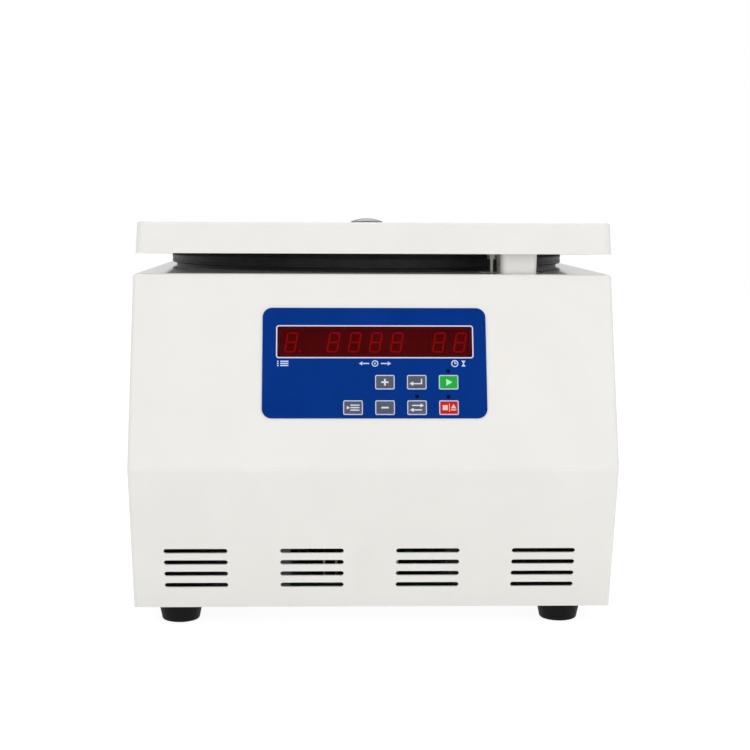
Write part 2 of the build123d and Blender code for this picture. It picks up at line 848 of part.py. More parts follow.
def make_fan_impeller():
    back = rear_inside_y - rear_y - fan_thick + fan_motor_depth + 0.6
    front = -sheet - 1.5
    hub = rear_rod(fan_hub_radius, fan_x, fan_z, back, front)
    hub = fillet(hub.edges().sort_by(Axis.Y)[-1], 2)
    tip = fan_bore_radius - fan_tip_gap
    blades = []
    middle = (back + front) / 2
    chord = (front - back) * 0.96
    for blade in range(fan_blades):
        form = Box(tip, fan_blade_thick, chord, align=(Align.MIN, Align.CENTER, Align.CENTER))
        form = form.rotate(Axis.X, fan_blade_twist)
        form = form.rotate(Axis.X, 90).rotate(Axis.Y, 360 / fan_blades * blade)
        blades.append(Pos(fan_x, rear_y + middle, fan_z) * form)
    limit = rear_rod(tip, fan_x, fan_z, back, front)
    wheel = hub
    for form in blades:
        wheel += form & limit
    axle_end = rear_inside_y - rear_y - fan_thick + fan_thick * 0.75 + fan_axle_fit
    wheel -= rear_rod(fan_axle_radius + fan_axle_fit, fan_x, fan_z, back - 1, axle_end + 0.3)
    return wheel


def make_fan_guard():
    level = rear_y + guard_wire
    rings = []
    for ring in range(guard_rings):
        radius = fan_bore_radius * (ring + 0.75) / (guard_rings - 0.25)
        wire = Plane(origin=(fan_x, level, fan_z), z_dir=(0, 1, 0)) * Torus(radius, guard_wire)
        rings.append(wire)
    over = rear_y + guard_seat - guard_wire
    guard = rings[0]
    for wire in rings[1:]:
        guard += wire
    for x, z in fan_holes():
        guard += rod(guard_wire, (fan_x, over, fan_z), (x, over, z))
        guard += rod(screw_head_radius + 1.2, (x, rear_y, z), (x, over + guard_wire, z))
    for x, z in fan_holes():
        guard -= rod(screw_radius + hole_gap, (x, rear_y - 1, z), (x, over + 3, z))
    return guard


def make_fan_screws():
    seat = rear_y + guard_seat
    length = seat - rear_inside_y + fan_thick
    screws = [pan_screw((x, seat - length, z), (x, seat, z)) for x, z in fan_holes()]
    for x, z in inlet_holes():
        screws.append(pan_screw((x, rear_inside_y - screw_reach, z), (x, rear_y + sheet, z)))
    for x, z in rear_screw_places():
        screws.append(pan_screw((x, rear_inside_y - screw_reach, z), (x, rear_y, z)))
    return screws


def make_power_inlet():
    flange = rear_block(inlet_x, inlet_z, inlet_width, inlet_height, 0, sheet)
    flange = fillet(flange.edges().filter_by(Axis.Y), 4)
    body = rear_block(inlet_x, inlet_z, inlet_body_width, inlet_body_height, -inlet_body_depth, 0)
    rim = rear_block(inlet_x, inlet_z, inlet_body_width, inlet_body_height, sheet, rear_reach - 0.5)
    inlet = flange + body + rim
    recess = rear_block(
        inlet_x, inlet_z, inlet_recess_width, inlet_recess_height, -inlet_recess_depth, rear_reach
    )
    upper = recess.edges().filter_by(Axis.Y).group_by(Axis.Z)[-1]
    recess = chamfer(upper, 4)
    inlet -= recess
    for place in (-1, 0, 1):
        lift = inlet_recess_height / 8 * (1 if place == 0 else -1)
        inlet += rear_block(
            inlet_x + place * inlet_pin_pitch,
            inlet_z + lift,
            inlet_pin_width,
            inlet_pin_height,
            -inlet_recess_depth,
            -1.0,
        )
    for x, z in inlet_holes():
        inlet -= rear_rod(screw_radius + hole_gap, x, z, -sheet - 1, rear_reach)
    return inlet


def make_rocker_frame():
    frame = rear_block(rocker_x, inlet_z, rocker_flange_width, rocker_flange_height, 0, sheet)
    frame = fillet(frame.edges().filter_by(Axis.Y), 2)
    frame += rear_block(
        rocker_x, inlet_z, rocker_body_width, rocker_body_height, -rocker_body_depth, 0
    )
    well = (rocker_width + 2 * rocker_end_gap, rocker_height + 2 * rocker_side_gap)
    frame -= rear_block(rocker_x, inlet_z, *well, -rocker_well_depth, sheet + 1)
    side = rocker_height / 2 + rocker_side_gap + 0.5
    axle = rod(
        rocker_pin_radius, (rocker_x, rear_y - rocker_pin_depth, inlet_z - side),
        (rocker_x, rear_y - rocker_pin_depth, inlet_z + side),
    )
    return frame + axle


def make_power_rocker():
    """The mains switch's rocker: two faces that meet over its pin, one of them down at rest."""
    half = rocker_width / 2
    high = rear_reach - 0.6
    rise = (half - 1) * sin(radians(rocker_tilt))
    outline = Polyline(
        (-half + 0.6, -2 * rocker_pin_depth),
        (-half, high - rise * 0.5),
        (0, high - rise * 0.5 - 0.9),
        (half, high - rise * 0.5),
        (half - 0.6, -2 * rocker_pin_depth),
        close=True,
    )
    base = Plane(origin=(rocker_x, rear_y, inlet_z - rocker_height / 2), x_dir=(1, 0, 0), z_dir=(0, 0, 1))
    body = extrude(base * make_face(outline), rocker_height, dir=(0, 0, 1))
    hole = rod(
        rocker_pin_radius + hinge_fit,
        (rocker_x, rear_y - rocker_pin_depth, inlet_z - rocker_height),
        (rocker_x, rear_y - rocker_pin_depth, inlet_z + rocker_height),
    )
    body -= hole
    pivot = Axis((rocker_x, rear_y - rocker_pin_depth, 0), (0, 0, 1))
    return body.rotate(pivot, rocker_tilt)


def make_fuse_caps():
    caps = []
    for x in fuse_x:
        cap = rear_rod(fuse_cap_radius, x, inlet_z, 0, rear_reach)
        cap = fillet(cap.edges().sort_by(Axis.Y)[-1], 1.0)
        cap += rear_rod(fuse_body_radius, x, inlet_z, -fuse_body_depth, 0)
        cap -= rear_block(x, inlet_z, fuse_cap_radius * 1.3, 1.4, rear_reach - 1.2, rear_reach + 1)
        caps.append(cap)
    return caps


keep("rear_panel", make_rear_panel())
keep("fan_frame", make_fan_frame())
keep("fan_impeller", make_fan_impeller())
keep("fan_guard", make_fan_guard())
keep("rear_screws", *make_fan_screws())
keep("power_inlet", make_power_inlet())
keep("rocker_frame", make_rocker_frame())
keep("power_rocker", make_power_rocker())
keep("fuse_caps", *make_fuse_caps())


# ---- chamber --------------------------------------------------------------------------------
def make_bowl():
    """The drawn bowl: flange under the top plate, straight wall, round corner, flat floor."""
    outer = spun(
        (
            (0, bowl_floor_z - bowl_wall),
            (bowl_radius + bowl_wall, bowl_floor_z - bowl_wall),
            (bowl_radius + bowl_wall, bowl_top_z - bowl_wall),
            (bowl_radius + bowl_flange, bowl_top_z - bowl_wall),
            (bowl_radius + bowl_flange, bowl_top_z),
            (0, bowl_top_z),
        ),
        0,
        chamber_y,
    )
    foot = outer.edges().filter_by(GeomType.CIRCLE).group_by(Axis.Z)[0]
    outer = fillet(foot, bowl_floor_radius + bowl_wall)
    inner = upright(bowl_radius, 0, chamber_y, bowl_floor_z, bowl_top_z + 1)
    foot = inner.edges().filter_by(GeomType.CIRCLE).group_by(Axis.Z)[0]
    bowl = outer - fillet(foot, bowl_floor_radius)
    return bowl - upright(bowl_drain_hole, 0, chamber_y, bowl_floor_z - 5, bowl_floor_z + 1)


def make_seal():
    """The rubber ring: rounded lower lip, groove, full belly, top that narrows inwards."""
    wide = seal_outer - seal_inner
    base = top_z
    with BuildSketch(Plane.XZ) as outline:
        with BuildLine():
            Polyline(
                (seal_inner, base),
                (seal_outer - seal_undercut, base),
                (seal_outer - seal_undercut, base + seal_undercut_height),
                (seal_outer - 0.8, base + seal_undercut_height + 0.4),
                (seal_outer, base + seal_undercut_height + 1.2),
                (seal_outer, base + seal_lip),
                (seal_outer - seal_groove_depth, base + seal_lip + 1.2),
                (seal_outer - seal_groove_depth, base + seal_groove),
            )
            ThreePointArc(
                (seal_outer - seal_groove_depth, base + seal_groove),
                (seal_outer, base + seal_belly),
                (seal_outer - 1.6, base + seal_belly + 2.6),
            )
            Polyline(
                (seal_outer - 1.6, base + seal_belly + 2.6),
                (seal_outer - wide * 0.32, base + seal_height - 0.8),
            )
            ThreePointArc(
                (seal_outer - wide * 0.32, base + seal_height - 0.8),
                (seal_outer - wide * 0.42, base + seal_height),
                (seal_outer - wide * 0.55, base + seal_height - 0.9),
            )
            Polyline(
                (seal_outer - wide * 0.55, base + seal_height - 0.9),
                (seal_inner + 1.0, base + seal_lip),
                (seal_inner, base + seal_lip - 1.0),
                (seal_inner, base),
            )
        make_face()
    ring = Pos(0, chamber_y, 0) * revolve(outline.sketch, Axis.Z, 360)
    skirt = spun(
        (
            (bowl_radius, under_top_z),
            (seal_inner, under_top_z),
            (seal_inner, base + seal_lip * 0.5),
            (bowl_radius, base + seal_lip * 0.3),
        ),
        0,
        chamber_y,
    )
    return ring + skirt


keep("chamber_bowl", make_bowl())
keep("chamber_seal", make_seal())


# ---- motor ----------------------------------------------------------------------------------
def make_motor_plate():
    plate = Pos(0, chamber_y, motor_plate_z) * extrude(
        RectangleRounded(motor_plate_side, motor_plate_side, motor_plate_corner), motor_plate_thick
    )
    plate -= upright(shaft_radius + boot_clearance, 0, chamber_y, motor_plate_z - 1, motor_plate_top + 1)
    for x, y in mount_places():
        plate -= upright(screw_radius + hole_gap, x, y, motor_plate_z - 1, motor_plate_top + 1)
    return plate


def make_motor_housing():
    """The motor's can under its plate, with the stator ring inside."""
    can = upright(motor_radius, 0, chamber_y, motor_foot_z, motor_plate_z)
    can = fillet(can.edges().group_by(Axis.Z)[0], 3)
    can -= upright(
        motor_radius - motor_wall, 0, chamber_y, motor_foot_z + motor_wall, motor_plate_z - motor_wall
    )
    ribs = []
    for turn in range(24):
        rib = Box(motor_rib_depth, motor_rib_width, motor_length - 2 * motor_rib_inset)
        rib = Pos(motor_radius, 0, 0) * rib
        rib = rib.rotate(Axis.Z, 15 * turn)
        ribs.append(Pos(0, chamber_y, motor_foot_z + motor_length / 2) * rib)
    can += ribs
    for low, high in bearing_spans():
        can += upright(bearing_outer + 3, 0, chamber_y, low, high)
        can -= upright(bearing_outer, 0, chamber_y, low, high)
    neck = shaft_radius + 1.0
    can -= upright(neck, 0, chamber_y, motor_foot_z + motor_wall, motor_plate_z + 1)
    middle = motor_foot_z + motor_length / 2
    stator = upright(
        motor_radius - motor_wall, 0, chamber_y, middle - stator_length / 2, middle + stator_length / 2
    )
    stator -= upright(
        motor_radius - motor_wall - stator_thick,
        0,
        chamber_y,
        middle - stator_length / 2 - 1,
        middle + stator_length / 2 + 1,
    )
    return can, stator


def bearing_spans():
    """Low and high level of each bearing in the motor's ends."""
    low = motor_foot_z + motor_wall
    high = motor_plate_z - motor_wall
    return [(low, low + bearing_width), (high - bearing_width, high)]


def make_bearings():
    rings = []
    for low, high in bearing_spans():
        ring = upright(bearing_outer, 0, chamber_y, low, high)
        ring -= upright(shaft_radius + shaft_fit, 0, chamber_y, low - 1, high + 1)
        rings.append(ring)
    return rings


def make_vibration_mounts():
    mounts = []
    for x, y in mount_places():
        half = mount_height / 2
        neck = mount_neck_radius
        low = motor_plate_z - mount_height
        form = spun(
            (
                (0, low),
                (mount_radius, low),
                (mount_radius, low + 3),
                (neck, low + half),
                (mount_radius, low + mount_height - 3),
                (mount_radius, low + mount_height),
                (0, low + mount_height),
            ),
            x,
            y,
        )
        mounts.append(form)
    return mounts


def make_motor_posts():
    posts = []
    for x, y in mount_places():
        post = upright(post_radius, x, y, pan_top_z, motor_plate_z - mount_height)
        posts.append(post)
    return posts


def make_boot():
    """The rubber bellows that closes the bowl's floor round the shaft."""
    low = motor_plate_top
    high = bowl_floor_z - bowl_wall
    fold = (high - low) / (2 * boot_folds)
    slim = shaft_radius + boot_clearance + 4
    outline = [(slim, low), (slim + boot_wall, low)]
    inner = []
    for step in range(1, 2 * boot_folds):
        radius = boot_outer - boot_wall - 2 if step % 2 else slim + 3
        outline.append((radius + boot_wall, low + fold * step))
        inner.append((radius, low + fold * step))
    outline.append((bowl_drain_hole + 4, high))
    outline.append((bowl_drain_hole + 4 - boot_wall, high - 0.01 - boot_wall))
    outline[-2] = (bowl_drain_hole + 4, high - boot_wall)
    outline[-1] = (bowl_drain_hole + 4, high)
    return spun((*outline, (boot_outer - boot_wall, high), *reversed(inner)), 0, chamber_y)


keep("motor_plate", make_motor_plate())
keep("motor_housing", *make_motor_housing())
keep("motor_bearings", *make_bearings())
keep("vibration_mounts", *make_vibration_mounts())
keep("motor_posts", *make_motor_posts())
keep("shaft_boot", make_boot())


# ---- rotor ----------------------------------------------------------------------------------
rotor_bar_inner = rotor_bar_y - rotor_bar_thick / 2
rotor_top_z = rotor_height + rotor_bar_height / 2
carrier_foot_z = rotor_height - carrier_depth


def make_motor_shaft():
    middle = motor_foot_z + motor_length / 2
    end = rotor_top_z + rotor_cap_height * 0.6
    shaft = upright(shaft_radius, 0, chamber_y, motor_foot_z + motor_wall + 1, end)
    armature = motor_radius - motor_wall - stator_thick - armature_gap
    shaft += upright(
        armature, 0, chamber_y, middle - stator_length / 2, middle + stator_length / 2
    )
    return shaft


def make_rotor_frame():
    """An H-shaped frame: a web with the hub, and a bar on each side that carries the trunnions."""
    low = rotor_height - rotor_bar_height / 2
    reach = trunnion_x + rotor_bar_end
    frame = block(
        (-rotor_web_half, rotor_web_half),
        (chamber_y - rotor_bar_y, chamber_y + rotor_bar_y),
        (low, rotor_top_z),
    )
    for side in (-1, 1):
        y = chamber_y + side * rotor_bar_y
        bar = block(
            (-reach, reach), (y - rotor_bar_thick / 2, y + rotor_bar_thick / 2), (low, rotor_top_z)
        )
        ends = bar.edges().filter_by(Axis.Y)
        frame += fillet(ends, rotor_bar_height / 2 - 0.5)
    inner_corners = [
        edge
        for edge in frame.edges().filter_by(Axis.Z)
        if abs(abs(edge.center().X) - rotor_web_half) < 0.01
    ]
    frame = fillet(inner_corners, 6)
    frame += upright(rotor_hub_radius, 0, chamber_y, low - rotor_hub_below, rotor_top_z)
    frame -= upright(shaft_radius + rotor_fit, 0, chamber_y, low - rotor_hub_below - 1, rotor_top_z + 1)
    for x in (-trunnion_x, trunnion_x):
        reach = rotor_bar_y + rotor_bar_thick
        start = (x, chamber_y - reach, rotor_height)
        frame -= rod(trunnion_radius, start, (x, chamber_y + reach, rotor_height))
    return frame


def trunnion_places():
    """Each trunnion's x, its bar's y, and the way to the rotor's middle along Y."""
    return [(i * trunnion_x, chamber_y + j * rotor_bar_y, -j) for i in (-1, 1) for j in (-1, 1)]


def make_trunnions():
    pins = []
    for x, y, inward in trunnion_places():
        outer = y - inward * rotor_bar_thick / 2
        inner = y + inward * (rotor_bar_thick / 2 + trunnion_engage)
        pins.append(rod(trunnion_radius, (x, outer, rotor_height), (x, inner, rotor_height)))
    return pins


def make_rotor_cap():
    cap = upright(rotor_cap_radius, 0, chamber_y, rotor_top_z, rotor_top_z + rotor_cap_height)
    cap = fillet(cap.edges().group_by(Axis.Z)[-1], 3)
    for turn in range(12):
        flute = upright(
            1.6,
            rotor_cap_radius * cos(radians(30 * turn)),
            chamber_y + rotor_cap_radius * sin(radians(30 * turn)),
            rotor_top_z - 1,
            rotor_top_z + rotor_cap_height - 3,
        )
        cap -= flute
    top = rotor_top_z + rotor_cap_height * 0.6 + 0.2
    return cap - upright(shaft_radius + rotor_fit, 0, chamber_y, rotor_top_z - 1, top)


def make_carrier(side):
    """A tray for one plate, hung by two straps from the trunnions."""
    x = side * trunnion_x
    half_x = carrier_half_x
    half_y = carrier_half_y
    rim_z = carrier_foot_z + carrier_rim
    tray = block(
        (x - half_x, x + half_x), (chamber_y - half_y, chamber_y + half_y), (carrier_foot_z, rim_z)
    )
    tray = fillet(tray.edges().filter_by(Axis.Z), carrier_corner)
    tray = fillet(tray.edges().group_by(Axis.Z)[0], 1.2)
    hollow_x = half_x - carrier_wall
    hollow_y = half_y - carrier_wall
    tray -= block(
        (x - hollow_x, x + hollow_x),
        (chamber_y - hollow_y, chamber_y + hollow_y),
        (carrier_foot_z + carrier_floor, rim_z + 1),
    )
    notch = plate_width * 0.45
    for way in (-1, 1):
        tray -= block(
            (x + way * (hollow_x - 1), x + way * (half_x + 1)),
            (chamber_y - notch, chamber_y + notch),
            (carrier_foot_z + carrier_floor + 7, rim_z + 1),
        )
    outer = rotor_bar_inner - 0.6
    for way in (-1, 1):
        near = chamber_y + way * (half_y - carrier_wall)
        far = chamber_y + way * half_y
        half = carrier_strap / 2
        strap = block((x - half, x + half), (near, far), (carrier_foot_z + 1.5, rotor_height))
        strap += rod(
            carrier_ear_radius, (x, near, rotor_height), (x, chamber_y + way * outer, rotor_height)
        )
        tray += strap
        tray -= rod(
            trunnion_radius + trunnion_fit,
            (x, near - way * 1, rotor_height),
            (x, chamber_y + way * (outer + 1), rotor_height),
        )
    return tray


keep("motor_shaft", make_motor_shaft())
keep("rotor_frame", make_rotor_frame())
keep("trunnion_pins", *make_trunnions())
keep("rotor_cap", make_rotor_cap())
keep("carrier_a", make_carrier(1))
keep("carrier_b", make_carrier(-1))


# ---- hinges ---------------------------------------------------------------------------------
def make_hinge_brackets():
    """On the top plate: a base with two ears round each leaf's knuckle."""
    brackets = []
    low = top_z + hinge_base_thick
    for side in (-1, 1):
        middle = side * hinge_x
        base = block(
            (middle - hinge_plate_reach, middle + hinge_plate_reach),
            (hinge_y - hinge_eye_radius, hinge_y + hinge_base_back),
            (top_z, low),
        )
        base = fillet(base.edges().filter_by(Axis.Z), 2)
        for end in (-1, 1):
            near = middle + end * (hinge_knuckle / 2 + hinge_side_gap)
            far = middle + end * hinge_ear_outer
            ear = rod(hinge_eye_radius, (near, hinge_y, hinge_z), (far, hinge_y, hinge_z))
            ear += block(
                (near, far), (hinge_y - hinge_eye_radius, hinge_y + hinge_eye_radius), (top_z + 1, hinge_z)
            )
            base += ear
        base -= rod(
            hinge_pin_radius + hinge_press,
            (middle - 2 * hinge_plate_reach, hinge_y, hinge_z),
            (middle + 2 * hinge_plate_reach, hinge_y, hinge_z),
        )
        for x, y in hinge_screw_places():
            base -= upright(screw_radius + hole_gap, x, y, top_z - 1, low + 1)
        brackets.append(base)
    return brackets


def make_hinge_pins():
    pins = []
    for side in (-1, 1):
        middle = side * hinge_x
        reach = hinge_ear_outer
        pin = rod(
            hinge_pin_radius, (middle - reach, hinge_y, hinge_z), (middle + reach, hinge_y, hinge_z)
        )
        for end in (-1, 1):
            near = middle + end * reach
            far = near + end * hinge_pin_head_thick
            pin += rod(hinge_pin_head, (near, hinge_y, hinge_z), (far, hinge_y, hinge_z))
        pins.append(pin)
    return pins


def make_hinge_screws():
    low = top_z + hinge_base_thick
    tip = under_top_z - screw_reach
    return [pan_screw((x, y, tip), (x, y, low)) for x, y in hinge_screw_places()]


keep("hinge_brackets", *make_hinge_brackets())
keep("hinge_pins", *make_hinge_pins())
keep("hinge_screws", *make_hinge_screws())


# ---- lid, drawn shut and then turned to its resting angle --------------------------------------
def leaf_screw_places():
    """Screws that hold the hinge leaves on the lid's rear wall."""
    z = (skirt_z + liner_z) / 2
    return [(side * hinge_x + end * hinge_screw_reach, z) for side in (-1, 1) for end in (-1, 1)]


def liner_screw_places():
    """Screws through the liner into the lid's bosses."""
    inset = lid_corner + 2 * screw_head_radius
    reach_x = lid_width / 2 - inset
    rows = (lid_front_y + inset, lid_rear_y - inset)
    return [(lid_shift + side * reach_x, y) for side in (-1, 1) for y in rows]


def lid_form(inset, low, high, corner):
    """The lid's plan drawn in by a gap, its sides leaning in towards the top."""
    middle = (lid_front_y + lid_rear_y) / 2
    plans = []
    for z in (low, high):
        drawn_in = inset + lid_draft * (z - skirt_z) / lid_height
        outline = RectangleRounded(lid_width - 2 * drawn_in, lid_depth - 2 * inset, corner)
        plans.append(Pos(lid_shift, middle, z) * outline)
    return loft(plans)


def make_lid_shell():
    shell = lid_form(0, skirt_z, lid_top_z, lid_corner)
    shell = fillet(shell.edges().group_by(Axis.Z)[-1], lid_edge_radius)
    hollow = lid_form(lid_sheet, skirt_z - 1, lid_top_z - lid_sheet, lid_corner - lid_sheet)
    hollow = fillet(hollow.edges().group_by(Axis.Z)[-1], lid_edge_radius - lid_sheet)
    shell -= hollow
    shell -= upright(glass_tube_radius + glass_fit, 0, chamber_y, skirt_z, lid_top_z + 1)
    for x, z in leaf_screw_places():
        shell -= rod(screw_radius + hole_gap, (x, lid_rear_y - 5, z), (x, lid_rear_y + 1, z))
    for x, y in liner_screw_places():
        boss = upright(screw_head_radius + 1, x, y, liner_z + liner_sheet, lid_top_z - lid_sheet / 2)
        shell += boss - upright(screw_radius + hole_gap, x, y, skirt_z, lid_top_z - 2 * lid_sheet)
    return shell


def make_lid_liner():
    liner = lid_form(lid_sheet, liner_z, liner_z + liner_sheet, lid_corner - lid_sheet)
    liner -= upright(glass_tube_radius + glass_fit, 0, chamber_y, skirt_z, lid_top_z)
    for x, y in liner_screw_places():
        liner -= upright(screw_radius + hole_gap, x, y, skirt_z, lid_top_z)
    return liner


def make_lid_screws():
    screws = []
    for x, z in leaf_screw_places():
        head = lid_rear_y + hinge_leaf_thick
        screws.append(pan_screw((x, lid_rear_y - lid_sheet - screw_reach, z), (x, head, z)))
    for x, y in liner_screw_places():
        screws.append(pan_screw((x, y, liner_z + liner_sheet + screw_reach), (x, y, liner_z)))
    return screws


def make_hinge_leaves():
    leaves = []
    for side in (-1, 1):
        middle = side * hinge_x
        low = skirt_z + 1
        leaf = block(
            (middle - hinge_plate_reach, middle + hinge_plate_reach),
            (lid_rear_y, lid_rear_y + hinge_leaf_thick),
            (low, low + hinge_leaf_height),
        )
        leaf = fillet(leaf.edges().filter_by(Axis.Y), 3)
        half = hinge_knuckle / 2
        leaf += rod(hinge_eye_radius, (middle - half, hinge_y, hinge_z), (middle + half, hinge_y, hinge_z))
        arm = hinge_eye_radius * 0.8
        leaf += block(
            (middle - half, middle + half), (lid_rear_y, hinge_y), (hinge_z - arm, hinge_z + arm)
        )
        leaf -= rod(
            hinge_pin_radius + hinge_fit,
            (middle - half - 1, hinge_y, hinge_z),
            (middle + half + 1, hinge_y, hinge_z),
        )
        for x, z in leaf_screw_places():
            leaf -= rod(screw_radius + hole_gap, (x, lid_rear_y - 1, z), (x, lid_rear_y + 5, z))
        leaves.append(leaf)
    return leaves


glass_flange_radius = glass_tube_radius + glass_flange_lip
glass_bore_radius = glass_tube_radius - glass_tube_wall
glass_seat_radius = glass_tube_radius - glass_seat_wall
glass_nut_radius = glass_tube_radius + glass_nut_lip
glass_flange_z = lid_top_z + glass_flange_thick
glass_top_z = glass_flange_z + glass_collar_height
glass_seat_z = glass_top_z - glass_seat_depth
glass_foot_z = liner_z - glass_nut_thick


def make_glass_bezel():
    bezel = upright(glass_flange_radius, 0, chamber_y, lid_top_z, glass_flange_z)
    bezel = fillet(bezel.edges().group_by(Axis.Z)[-1], 1.6)
    tube = upright(glass_tube_radius, 0, chamber_y, glass_foot_z, glass_top_z)
    bezel += fillet(tube.edges().group_by(Axis.Z)[-1], 0.5)
    bezel -= upright(glass_bore_radius, 0, chamber_y, glass_foot_z - 1, glass_top_z + 1)
    return bezel - upright(glass_seat_radius, 0, chamber_y, glass_seat_z, glass_top_z + 1)


def make_glass_lens():
    rim = glass_seat_radius - glass_fit
    ball = (rim**2 + glass_dome_rise**2) / (2 * glass_dome_rise)
    middle = Pos(0, chamber_y, glass_top_z + glass_dome_rise - ball)
    lens = (middle * Sphere(ball)) & upright(rim, 0, chamber_y, glass_seat_z, glass_top_z + ball)
    hollow = (middle * Sphere(ball - glass_lens_thick)) & upright(
        rim - glass_lens_thick, 0, chamber_y, glass_seat_z - 1, glass_top_z + ball
    )
    return lens - hollow


def make_glass_nut():
    nut = upright(glass_nut_radius, 0, chamber_y, glass_foot_z, liner_z)
    nut = chamfer(nut.edges().group_by(Axis.Z)[0], 0.8)
    return nut - upright(glass_tube_radius + glass_fit, 0, chamber_y, glass_foot_z - 1, liner_z + 1)


def make_lock_block():
    high = liner_z
    foot = RectangleRounded(
        block_width - 2 * block_draft, block_depth - 2 * block_draft, block_corner - block_draft
    )
    head = RectangleRounded(block_width, block_depth, block_corner)
    form = loft([Pos(lock_x, lock_y, block_foot_z) * foot, Pos(lock_x, lock_y, high) * head])
    slot = block(
        (lock_x - block_width, lock_x + block_width),
        (lock_y - latch_depth / 2 - latch_guide_gap * 2, lock_y + latch_depth / 2 + latch_guide_gap * 2),
        (latch_z - block_slot_height / 2, latch_z + block_slot_height / 2),
    )
    return form - slot


def make_switch_bolt():
    tip = skirt_z - switch_bolt_below
    bolt = upright(switch_bolt_radius, switch_bolt_x, switch_bolt_y, tip, liner_z)
    bolt = chamfer(bolt.edges().group_by(Axis.Z)[0], 0.5)
    nut_top = skirt_z - switch_nut_below
    bolt += upright(switch_bolt_collar_radius, switch_bolt_x, switch_bolt_y, nut_top, liner_z)
    return bolt


def make_switch_nut():
    nut_top = skirt_z - switch_nut_below
    outline = RegularPolygon(switch_nut_flats / 2, 6, major_radius=False)
    nut = Pos(switch_bolt_x, switch_bolt_y, nut_top - switch_nut_thick) * extrude(outline, switch_nut_thick)
    hole = upright(
        switch_bolt_radius + hinge_press,
        switch_bolt_x,
        switch_bolt_y,
        nut_top - switch_nut_thick - 1,
        nut_top + 1,
    )
    return nut - hole


lid_parts = {
    "lid_shell": [make_lid_shell()],
    "lid_liner": [make_lid_liner()],
    "lid_screws": make_lid_screws(),
    "hinge_leaves": make_hinge_leaves(),
    "sight_glass_bezel": [make_glass_bezel()],
    "sight_glass_lens": [make_glass_lens()],
    "sight_glass_nut": [make_glass_nut()],
    "lock_block": [make_lock_block()],
    "switch_bolt": [make_switch_bolt()],
    "switch_bolt_nut": [make_switch_nut()],
}
for lid_node, lid_solids in lid_parts.items():
    keep(lid_node, *[tilted(solid) for solid in lid_solids])


# ---- lid lock and switch in the casing ----------------------------------------------------------
latch_tip_x = lock_x + block_width / 2 + latch_start_gap
latch_tail_x = latch_tip_x + latch_throw + latch_guided
lock_case_left = well_right + well_wall + well_flange
lock_case_right = latch_tail_x + latch_guide_gap + lock_case_wall
well_floor_z = under_top_z - well_depth_z
microswitch_x = well_left + 1 + microswitch_width / 2


def latch_bar(gap, left, right):
    """The lock's sliding bar, or with a gap the channel that it slides in."""
    half_y = latch_depth / 2 + gap
    half_z = latch_height / 2 + gap
    return block((left, right), (lock_y - half_y, lock_y + half_y), (latch_z - half_z, latch_z + half_z))


def make_lock_bolt():
    bar = latch_bar(0, latch_tip_x, latch_tail_x)
    tip = bar.faces().sort_by(Axis.X)[0]
    return chamfer(tip.edges(), 1.0)


def make_lock_housing():
    case = block(
        (lock_case_left, lock_case_right),
        (lock_y - lock_case_depth / 2, lock_y + lock_case_depth / 2),
        (under_top_z - lock_case_height, under_top_z),
    )
    case = fillet(case.edges().filter_by(Axis.Z), 2)
    case -= latch_bar(latch_guide_gap, lock_case_left - 1, latch_tail_x + latch_guide_gap)
    back = lock_y + lock_case_depth / 2
    middle = (lock_case_left + lock_case_right) / 2
    level = under_top_z - lock_case_height / 2
    coil = rod(solenoid_radius, (middle, back, level), (middle, back + lock_case_depth, level))
    return case, coil


def make_lock_well():
    low_y = lock_y - well_depth_y / 2
    high_y = lock_y + well_depth_y / 2
    rim = well_wall + well_flange
    well = block(
        (well_left - well_wall, well_right + well_wall),
        (low_y - well_wall, high_y + well_wall),
        (well_floor_z - well_wall, under_top_z),
    )
    well += block(
        (well_left - rim, well_right + rim),
        (low_y - rim, high_y + rim),
        (under_top_z - well_wall, under_top_z),
    )
    well -= block((well_left, well_right), (low_y, high_y), (well_floor_z, under_top_z + 1))
    well -= latch_bar(latch_guide_gap, well_right - 1, well_right + well_wall + 1)
    well -= microswitch_body(panel_gap)
    return well


def microswitch_body(gap):
    """The switch's case, or with a gap the hole it sits in."""
    top = skirt_z - switch_bolt_below - switch_clearance - microswitch_button
    half_x = microswitch_width / 2 + gap
    half_y = microswitch_depth / 2 + gap
    return block(
        (microswitch_x - half_x, microswitch_x + half_x),
        (switch_bolt_y - half_y, switch_bolt_y + half_y),
        (top - microswitch_height, top),
    )


def make_microswitch():
    case = microswitch_body(0)
    top = skirt_z - switch_bolt_below - switch_clearance
    return case + upright(1.4, switch_bolt_x, switch_bolt_y, top - microswitch_button - 1, top)


keep("lock_bolt", make_lock_bolt())
keep("lock_housing", *make_lock_housing())
keep("lock_well", make_lock_well())
keep("microswitch", make_microswitch())


# ---- electronics on the floor pan -----------------------------------------------------------------
board_z = pan_top_z + board_standoff
board_top_z = board_z + board_thick


def make_drive_board():
    """The drive board on its posts, with capacitors and a terminal strip."""
    form = block(
        (board_x - board_width / 2, board_x + board_width / 2),
        (board_y - board_depth / 2, board_y + board_depth / 2),
        (board_z, board_top_z),
    )
    for i in (-1, 1):
        for j in (-1, 1):
            x = board_x + i * (board_width / 2 - 6)
            y = board_y + j * (board_depth / 2 - 6)
            form += upright(3.0, x, y, pan_top_z, board_z)
    y = board_y + board_depth / 4
    for place in range(3):
        x = board_x + board_width / 2 - capacitor_inset - capacitor_pitch * place
        form += upright(capacitor_radius, x, y, board_top_z, board_top_z + capacitor_height)
    left = board_x - board_width / 2 + terminal_inset
    form += block(
        (left, left + terminal_width),
        (board_y - board_depth / 3, board_y + board_depth / 3),
        (board_top_z, board_top_z + terminal_height),
    )
    return form


